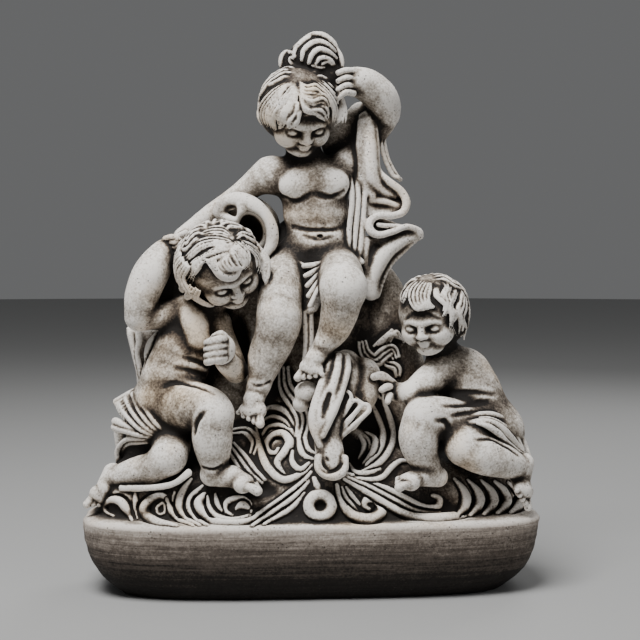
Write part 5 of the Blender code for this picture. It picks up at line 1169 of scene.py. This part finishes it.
def hollows(clay):
    """Deep recesses between the figures."""
    for u, v, y, radii in ((40, 134, -52, (24, 24, 26)), (-72, 232, -14, (14, 26, 34)),
                           (-66, 196, -30, (12, 22, 22)), (-6, 208, -52, (9, 22, 22)),
                           (84, 226, -18, (16, 26, 22)), (-70, 134, -64, (8, 12, 8)),
                           (74, 180, -34, (12, 24, 22)), (-74, 88, -78, (36, 14, 11)),
                           (104, 88, -76, (26, 12, 9))):
        clay.ball(at(u, v, y), radii, blend=6, cut=True)


def model(cell):
    """The whole casting as one clay."""
    stone = Clay(STONE_LOW, STONE_HIGH, cell)
    plinth(stone)
    core(stone)
    stone.soften(2)
    hollows(stone)
    ground = Clay(STONE_LOW, STONE_HIGH, cell)
    ground.d[:] = stone.d
    water(stone, ground)
    stone.merge(jug(cell), 2.0)
    for maker in (dolphin, top_putto, left_putto, right_putto, cloth_top, cloth_left, cloth_right):
        stone.merge(maker(cell), 1.5)
    return stone


def roughen(clay, spacing, depth, seed):
    """Works an even noise of that spacing and depth, in millimetres, into the layer near the surface."""
    rng = np.random.default_rng(seed)
    i, j, k = np.nonzero(np.abs(clay.d) < 3.0)
    g = (np.stack([i, j, k], 1) * (clay.cell / spacing)).astype(np.float32)
    size = np.ceil(np.array(clay.d.shape) * clay.cell / spacing).astype(int) + 2
    lattice = rng.uniform(-1, 1, size).astype(np.float32)
    corner = g.astype(int)
    share = g - corner
    share = share * share * (3 - 2 * share)
    total = np.zeros(len(g), np.float32)
    for a in (0, 1):
        for b in (0, 1):
            for c in (0, 1):
                off = np.abs(1 - np.array([a, b, c], np.float32) - share)
                weight = off[:, 0] * off[:, 1] * off[:, 2]
                total += weight * lattice[corner[:, 0] + a, corner[:, 1] + b, corner[:, 2] + c]
    clay.d[i, j, k] += depth * total


def keep_inside(clay, low, high):
    """Cuts the clay off at a box."""
    for axis in range(3):
        ticks = (clay.first[axis] + np.arange(clay.d.shape[axis])) * clay.cell
        over = np.maximum(low[axis] - ticks, ticks - high[axis]).astype(np.float32)
        shape = [1, 1, 1]
        shape[axis] = -1
        np.maximum(clay.d, over.reshape(shape), out=clay.d)


def solidity(clay, reach):
    """How much of the stone within about reach millimetres is solid: half on a flat, more in a hollow."""
    filled = np.clip(0.5 - clay.d / (2.2 * clay.cell), 0, 1)
    coarse = max(1, int(reach / (1.6 * clay.cell)))
    n = [size // coarse * coarse for size in filled.shape]
    filled = filled[:n[0], :n[1], :n[2]]
    blocks = (n[0] // coarse, coarse, n[1] // coarse, coarse, n[2] // coarse, coarse)
    filled = filled.reshape(blocks).mean((1, 3, 5))
    field = Clay((0, 0, 0), (1, 1, 1), clay.cell * coarse)
    field.first = clay.first / coarse + 0.5 * (coarse - 1) / coarse
    field.shape = np.array(filled.shape)
    field.d = filled
    field.soften(max(1, round((reach / (0.707 * field.cell)) ** 2)))
    return field


def plinth_middle(node):
    """Where the CAD plinth's walls have their middle, in millimetres: the layout's own origin."""
    places = np.array([v.co for v in node.data.vertices]) / MM
    wall = places[(places[:, 2] > 0.2 * RIM) & (places[:, 2] < 0.8 * RIM)]
    return (wall.min(0) + wall.max(0))[:2] / 2


def largest_body(mesh):
    """Keeps only the mesh's largest connected body."""
    bm = bmesh.new()
    bm.from_mesh(mesh)
    left = set(bm.verts)
    bodies = []
    while left:
        body = [left.pop()]
        for v in body:
            for e in v.link_edges:
                w = e.other_vert(v)
                if w in left:
                    left.discard(w)
                    body.append(w)
        bodies.append(body)
    bodies.sort(key=len)
    for body in bodies[:-1]:
        bmesh.ops.delete(bm, geom=body, context="VERTS")
    bmesh.ops.recalc_face_normals(bm, faces=bm.faces)
    bm.to_mesh(mesh)
    bm.free()


def skin(clay, shift):
    """The clay's surface as a mesh, thinned to the wanted number of triangles."""
    points, quads = surface(clay)
    mesh = bpy.data.meshes.new("skin")
    mesh.vertices.add(len(points))
    mesh.vertices.foreach_set("co", ((points + shift) * MM).astype(np.float32).ravel())
    mesh.loops.add(4 * len(quads))
    mesh.loops.foreach_set("vertex_index", quads.astype(np.int32).ravel())
    mesh.polygons.add(len(quads))
    mesh.polygons.foreach_set("loop_start", np.arange(0, 4 * len(quads), 4, dtype=np.int32))
    mesh.update(calc_edges=True)
    item = bpy.data.objects.new("skin", mesh)
    bpy.context.scene.collection.objects.link(item)
    thin = item.modifiers.new("thin", "DECIMATE")
    thin.ratio = TRIANGLES / (2 * len(quads))
    thin.use_collapse_triangulate = True
    thinned = bpy.data.meshes.new_from_object(item.evaluated_get(bpy.context.evaluated_depsgraph_get()))
    bpy.data.objects.remove(item)
    bpy.data.meshes.remove(mesh)
    largest_body(thinned)
    return thinned


def hairy(places):
    """How much each point belongs to combed hair: round the topknot, or over and beside a face."""
    found = (np.linalg.norm((places - TOPKNOT.centre) / TOPKNOT_REACH, axis=1) < 1).astype(float)
    for head in HEADS:
        right, back, up = ((places - head.centre) @ head.axes / head.size).T
        a, b, c = HAIR_REACH
        near = (right / a) ** 2 + ((back - 4) / b) ** 2 + ((up - 4) / c) ** 2 < 1
        shown = np.clip((24 - back) / 16, 0.2, 1)
        found = np.maximum(found, near * shown * ((up > 13) | (back > -8)))
    return found


def weather(mesh, clay, shift):
    """Writes the dark wash left in hollows, with painted shade in deep recesses and painted light on upward
    faces, and where the plinth's wall is, as values on the mesh's points.
    """
    places = np.zeros(3 * len(mesh.vertices), np.float32)
    mesh.vertices.foreach_get("co", places)
    places = places.reshape(-1, 3) / MM - shift
    fine, middle, deep = (solidity(clay, reach).sample(places) - 0.5 for reach in REACHES)
    deep = np.maximum(deep, -0.2)
    facing = np.zeros(3 * len(mesh.vertices), np.float32)
    mesh.vertices.foreach_get("normal", facing)
    wall = np.clip((RIM + 1 - places[:, 2]) / 6, 0, 1)
    wash_and_shade = WASH_EVEN + WASH_FINE * fine + WASH_MIDDLE * np.maximum(middle, -0.08)
    # painted light: faces turned upwards get less of the dark value, so they read as lit from above
    wash_and_shade -= UPWARD_PAINTED_LIGHT * facing[2::3]
    # the deep reach darkens recesses between the figures, part wash and part painted shade, and lightens
    # open faces
    wash_and_shade += np.where(deep > 0, DEEP_WASH_AND_SHADE, OPEN_WASH_AND_SHADE) * deep
    wash_and_shade += hairy(places) * (HAIR_WASH + HAIR_FINE * fine)
    wash_and_shade = np.clip(wash_and_shade, 0, 1)
    for name, value in (("wash_and_shade", wash_and_shade), ("wall", wall)):
        field = mesh.attributes.new(name, "FLOAT", "POINT")
        field.data.foreach_set("value", value.astype(np.float32))


def concrete():
    """Cast concrete with a dark wash left in its hollows, painted shade in its deep recesses and painted
    light on its upward faces, pits, and brush marks along the plinth's wall.
    """
    material = bpy.data.materials.new("weathered concrete")
    material.use_nodes = True
    tree = material.node_tree
    link = tree.links.new
    surface_node = tree.nodes["Principled BSDF"]

    def node(kind, **values):
        made = tree.nodes.new("ShaderNode" + kind)
        for name, value in values.items():
            setattr(made, name, value)
        return made

    def math_node(operation, a, b, clamp=False):
        made = node("Math", operation=operation, use_clamp=clamp)
        for socket, value in zip(made.inputs, (a, b)):
            if isinstance(value, (int, float)):
                socket.default_value = value
            else:
                link(value, socket)
        return made.outputs[0]

    def add(a, b, clamp=False):
        return math_node("ADD", a, b, clamp)

    def times(a, b, clamp=False):
        return math_node("MULTIPLY", a, b, clamp)

    def swing(field, share):
        """The field's swing about its middle, times a share."""
        return times(math_node("SUBTRACT", field, 0.5), share)

    def flat(colour):
        made = node("RGB")
        made.outputs[0].default_value = (*colour, 1.0)
        return made.outputs[0]

    def ramp(factor, stops):
        made = node("ValToRGB")
        while len(made.color_ramp.elements) < len(stops):
            made.color_ramp.elements.new(0.5)
        for element, (place, colour) in zip(made.color_ramp.elements, stops):
            element.position = place
            element.color = (*colour, 1.0) if isinstance(colour, tuple) else (colour, colour, colour, 1.0)
        link(factor, made.inputs["Fac"])
        return made.outputs["Color"]

    def noise(scale, detail=4.0, roughness=0.6, stretch=None):
        made = node("TexNoise")
        made.inputs["Scale"].default_value = scale
        made.inputs["Detail"].default_value = detail
        made.inputs["Roughness"].default_value = roughness
        source = place.outputs["Object"]
        if stretch:
            mapping = node("Mapping")
            mapping.inputs["Scale"].default_value = stretch
            link(source, mapping.inputs["Vector"])
            source = mapping.outputs["Vector"]
        link(source, made.inputs["Vector"])
        return made.outputs["Fac"]

    def attribute(name):
        return node("Attribute", attribute_name=name).outputs["Fac"]

    def mixed(factor, a, b, blend="MIX"):
        made = node("Mix", data_type="RGBA", blend_type=blend)
        link(factor, made.inputs["Factor"])
        link(a, made.inputs["A"])
        link(b, made.inputs["B"])
        return made.outputs["Result"]

    place = node("TexCoord")
    # the dark wash from the hollows, with painted shade in deep recesses and painted light on upward faces
    wash_and_shade = attribute("wash_and_shade")
    wall = attribute("wall")
    blotches = noise(28.0, 5.0, 0.62)
    stains = noise(13.0, 3.0, 0.5)
    specks = noise(420.0, 3.0, 0.7)
    sand = noise(1500.0, 2.0, 0.6)
    streaks = noise(9.0, 6.0, 0.7, (1.0, 1.0, 34.0))

    # the wash and painted shade: more in hollows, painted shade in deep recesses, painted light on upward
    # faces, broken up by blotches and specks
    noisy_wash_and_shade = add(wash_and_shade, swing(blotches, 0.50))
    noisy_wash_and_shade = add(noisy_wash_and_shade, swing(specks, 0.70), True)
    figure = ramp(noisy_wash_and_shade, [(0.0, (0.94, 0.895, 0.835)), (0.15, (0.59, 0.535, 0.47)),
                         (0.31, (0.26, 0.222, 0.18)),
                         (0.48, (0.085, 0.066, 0.051)), (0.70, (0.010, 0.0075, 0.006))])
    figure = mixed(ramp(stains, [(0.52, 0.0), (0.70, 0.8)]), figure, flat((1.0, 0.86, 0.68)), "MULTIPLY")

    # the plinth's wall is browner and darker, in level brush marks, and darker towards its foot, part its
    # own tone and part painted shade
    height = node("SeparateXYZ")
    link(place.outputs["Object"], height.inputs[0])
    # darker towards the foot of the wall: partly the wall's own tone, partly painted shade
    low_tone_and_shade = times(math_node("SUBTRACT", (RIM - GROUND) * MM, height.outputs["Z"]), 12.0, True)
    brushed_tone_and_shade = add(swing(streaks, 0.9), low_tone_and_shade)
    brushed_tone_and_shade = add(brushed_tone_and_shade, swing(specks, 0.55))
    brushed_tone_and_shade = add(brushed_tone_and_shade, times(wash_and_shade, 0.35), True)
    base = ramp(brushed_tone_and_shade, [(0.0, (0.54, 0.48, 0.42)), (0.20, (0.30, 0.255, 0.215)),
                          (0.45, (0.105, 0.083, 0.067)),
                          (0.75, (0.017, 0.013, 0.010)), (1.0, (0.007, 0.005, 0.004))])
    colour = mixed(wall, figure, base)

    # pinholes where air was caught in the casting
    holes = node("TexVoronoi", feature="F1")
    holes.inputs["Scale"].default_value = 230.0
    holes.inputs["Randomness"].default_value = 1.0
    link(place.outputs["Object"], holes.inputs["Vector"])
    thick = ramp(noise(60.0, 2.0, 0.5), [(0.46, 0.0), (0.60, 1.0)])
    hole = ramp(holes.outputs["Distance"], [(0.10, 1.0), (0.24, 0.0)])
    hole = times(hole, thick, True)
    colour = mixed(times(hole, 0.85), colour, flat((0.035, 0.028, 0.022)))
    link(colour, surface_node.inputs["Base Color"])

    link(add(times(specks, 0.2), 0.74, True), surface_node.inputs["Roughness"])
    surface_node.inputs["Metallic"].default_value = 0.0
    surface_node.inputs["Specular IOR Level"].default_value = 0.35

    # relief too fine for the mesh: sand grain, specks, pinholes and brush marks
    grain = add(times(specks, 0.55), times(sand, 0.25))
    grain = math_node("SUBTRACT", grain, times(hole, 0.9))
    grain = add(grain, times(times(streaks, wall), 1.4))
    bump = node("Bump")
    bump.inputs["Strength"].default_value = 0.7
    bump.inputs["Distance"].default_value = 0.0009
    link(grain, bump.inputs["Height"])
    link(bump.outputs["Normal"], surface_node.inputs["Normal"])
    return material


def floor():
    """A wide pale floor with a round edge far off."""
    material = bpy.data.materials.new("pale floor")
    material.use_nodes = True
    shader = material.node_tree.nodes["Principled BSDF"]
    shader.inputs["Base Color"].default_value = (*FLOOR_COLOUR, 1.0)
    shader.inputs["Roughness"].default_value = 0.9
    bm = bmesh.new()
    bmesh.ops.create_circle(bm, cap_ends=True, segments=96, radius=9.0)
    mesh = bpy.data.meshes.new("floor")
    bm.to_mesh(mesh)
    bm.free()
    mesh.materials.append(material)
    item = bpy.data.objects.new("floor", mesh)
    bpy.context.scene.collection.objects.link(item)


def lamp(name, place, size, power):
    """A square soft light that faces the statue's middle."""
    data = bpy.data.lights.new(name, "AREA")
    data.size = size
    data.energy = power
    item = bpy.data.objects.new(name, data)
    item.location = place
    aim = Vector(LAMP_TARGET) - Vector(place)
    item.rotation_euler = aim.to_track_quat("-Z", "Y").to_euler()
    bpy.context.scene.collection.objects.link(item)


def studio():
    """Three lamps and a dim even sky."""
    for name, place, size, power in LAMPS:
        lamp(name, place, size, power)
    world = bpy.data.worlds.new("studio")
    world.use_nodes = True
    sky = world.node_tree.nodes["Background"].inputs
    sky["Color"].default_value = (*SKY_COLOUR, 1.0)
    sky["Strength"].default_value = SKY_STRENGTH
    bpy.context.scene.world = world


def camera(shift):
    """The photograph's eye: where the front elevation is drawn from."""
    data = bpy.data.cameras.new("camera")
    item = bpy.data.objects.new("camera", data)
    eye = Vector((at(0, VIEW_HEIGHT, -VIEW_DISTANCE) + shift) * MM)
    target = Vector((at(*PICTURE_MIDDLE, 0) + shift) * MM)
    item.location = eye
    item.rotation_euler = (target - eye).to_track_quat("-Z", "Y").to_euler()
    data.sensor_width = 36.0
    data.lens = data.sensor_width * (target - eye).length / (PICTURE_WIDTH * MM)
    data.clip_start = 0.05
    data.clip_end = 50.0
    bpy.context.scene.collection.objects.link(item)
    bpy.context.scene.camera = item


def statue():
    """The casting's carved skin, in place of the CAD node."""
    shift = np.array([*plinth_middle(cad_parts[NODE]), -GROUND])
    clay = model(CELL)
    for spacing, depth, seed in ROUGHENING:
        roughen(clay, spacing, depth, seed)
    keep_inside(clay, np.array(cad_low) / MM - shift + CLEARANCE,
                np.array(cad_high) / MM - shift - CLEARANCE)
    mesh = skin(clay, shift)
    weather(mesh, clay, shift)
    mesh.shade_smooth()
    mesh.materials.append(concrete())
    mesh.name = "statue_skin"
    item = bpy.data.objects.new("statue_skin", mesh)
    bpy.context.scene.collection.objects.link(item)
    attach(item, "root")
    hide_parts(NODE)
    return shift


shift = statue()
floor()
studio()
camera(shift)
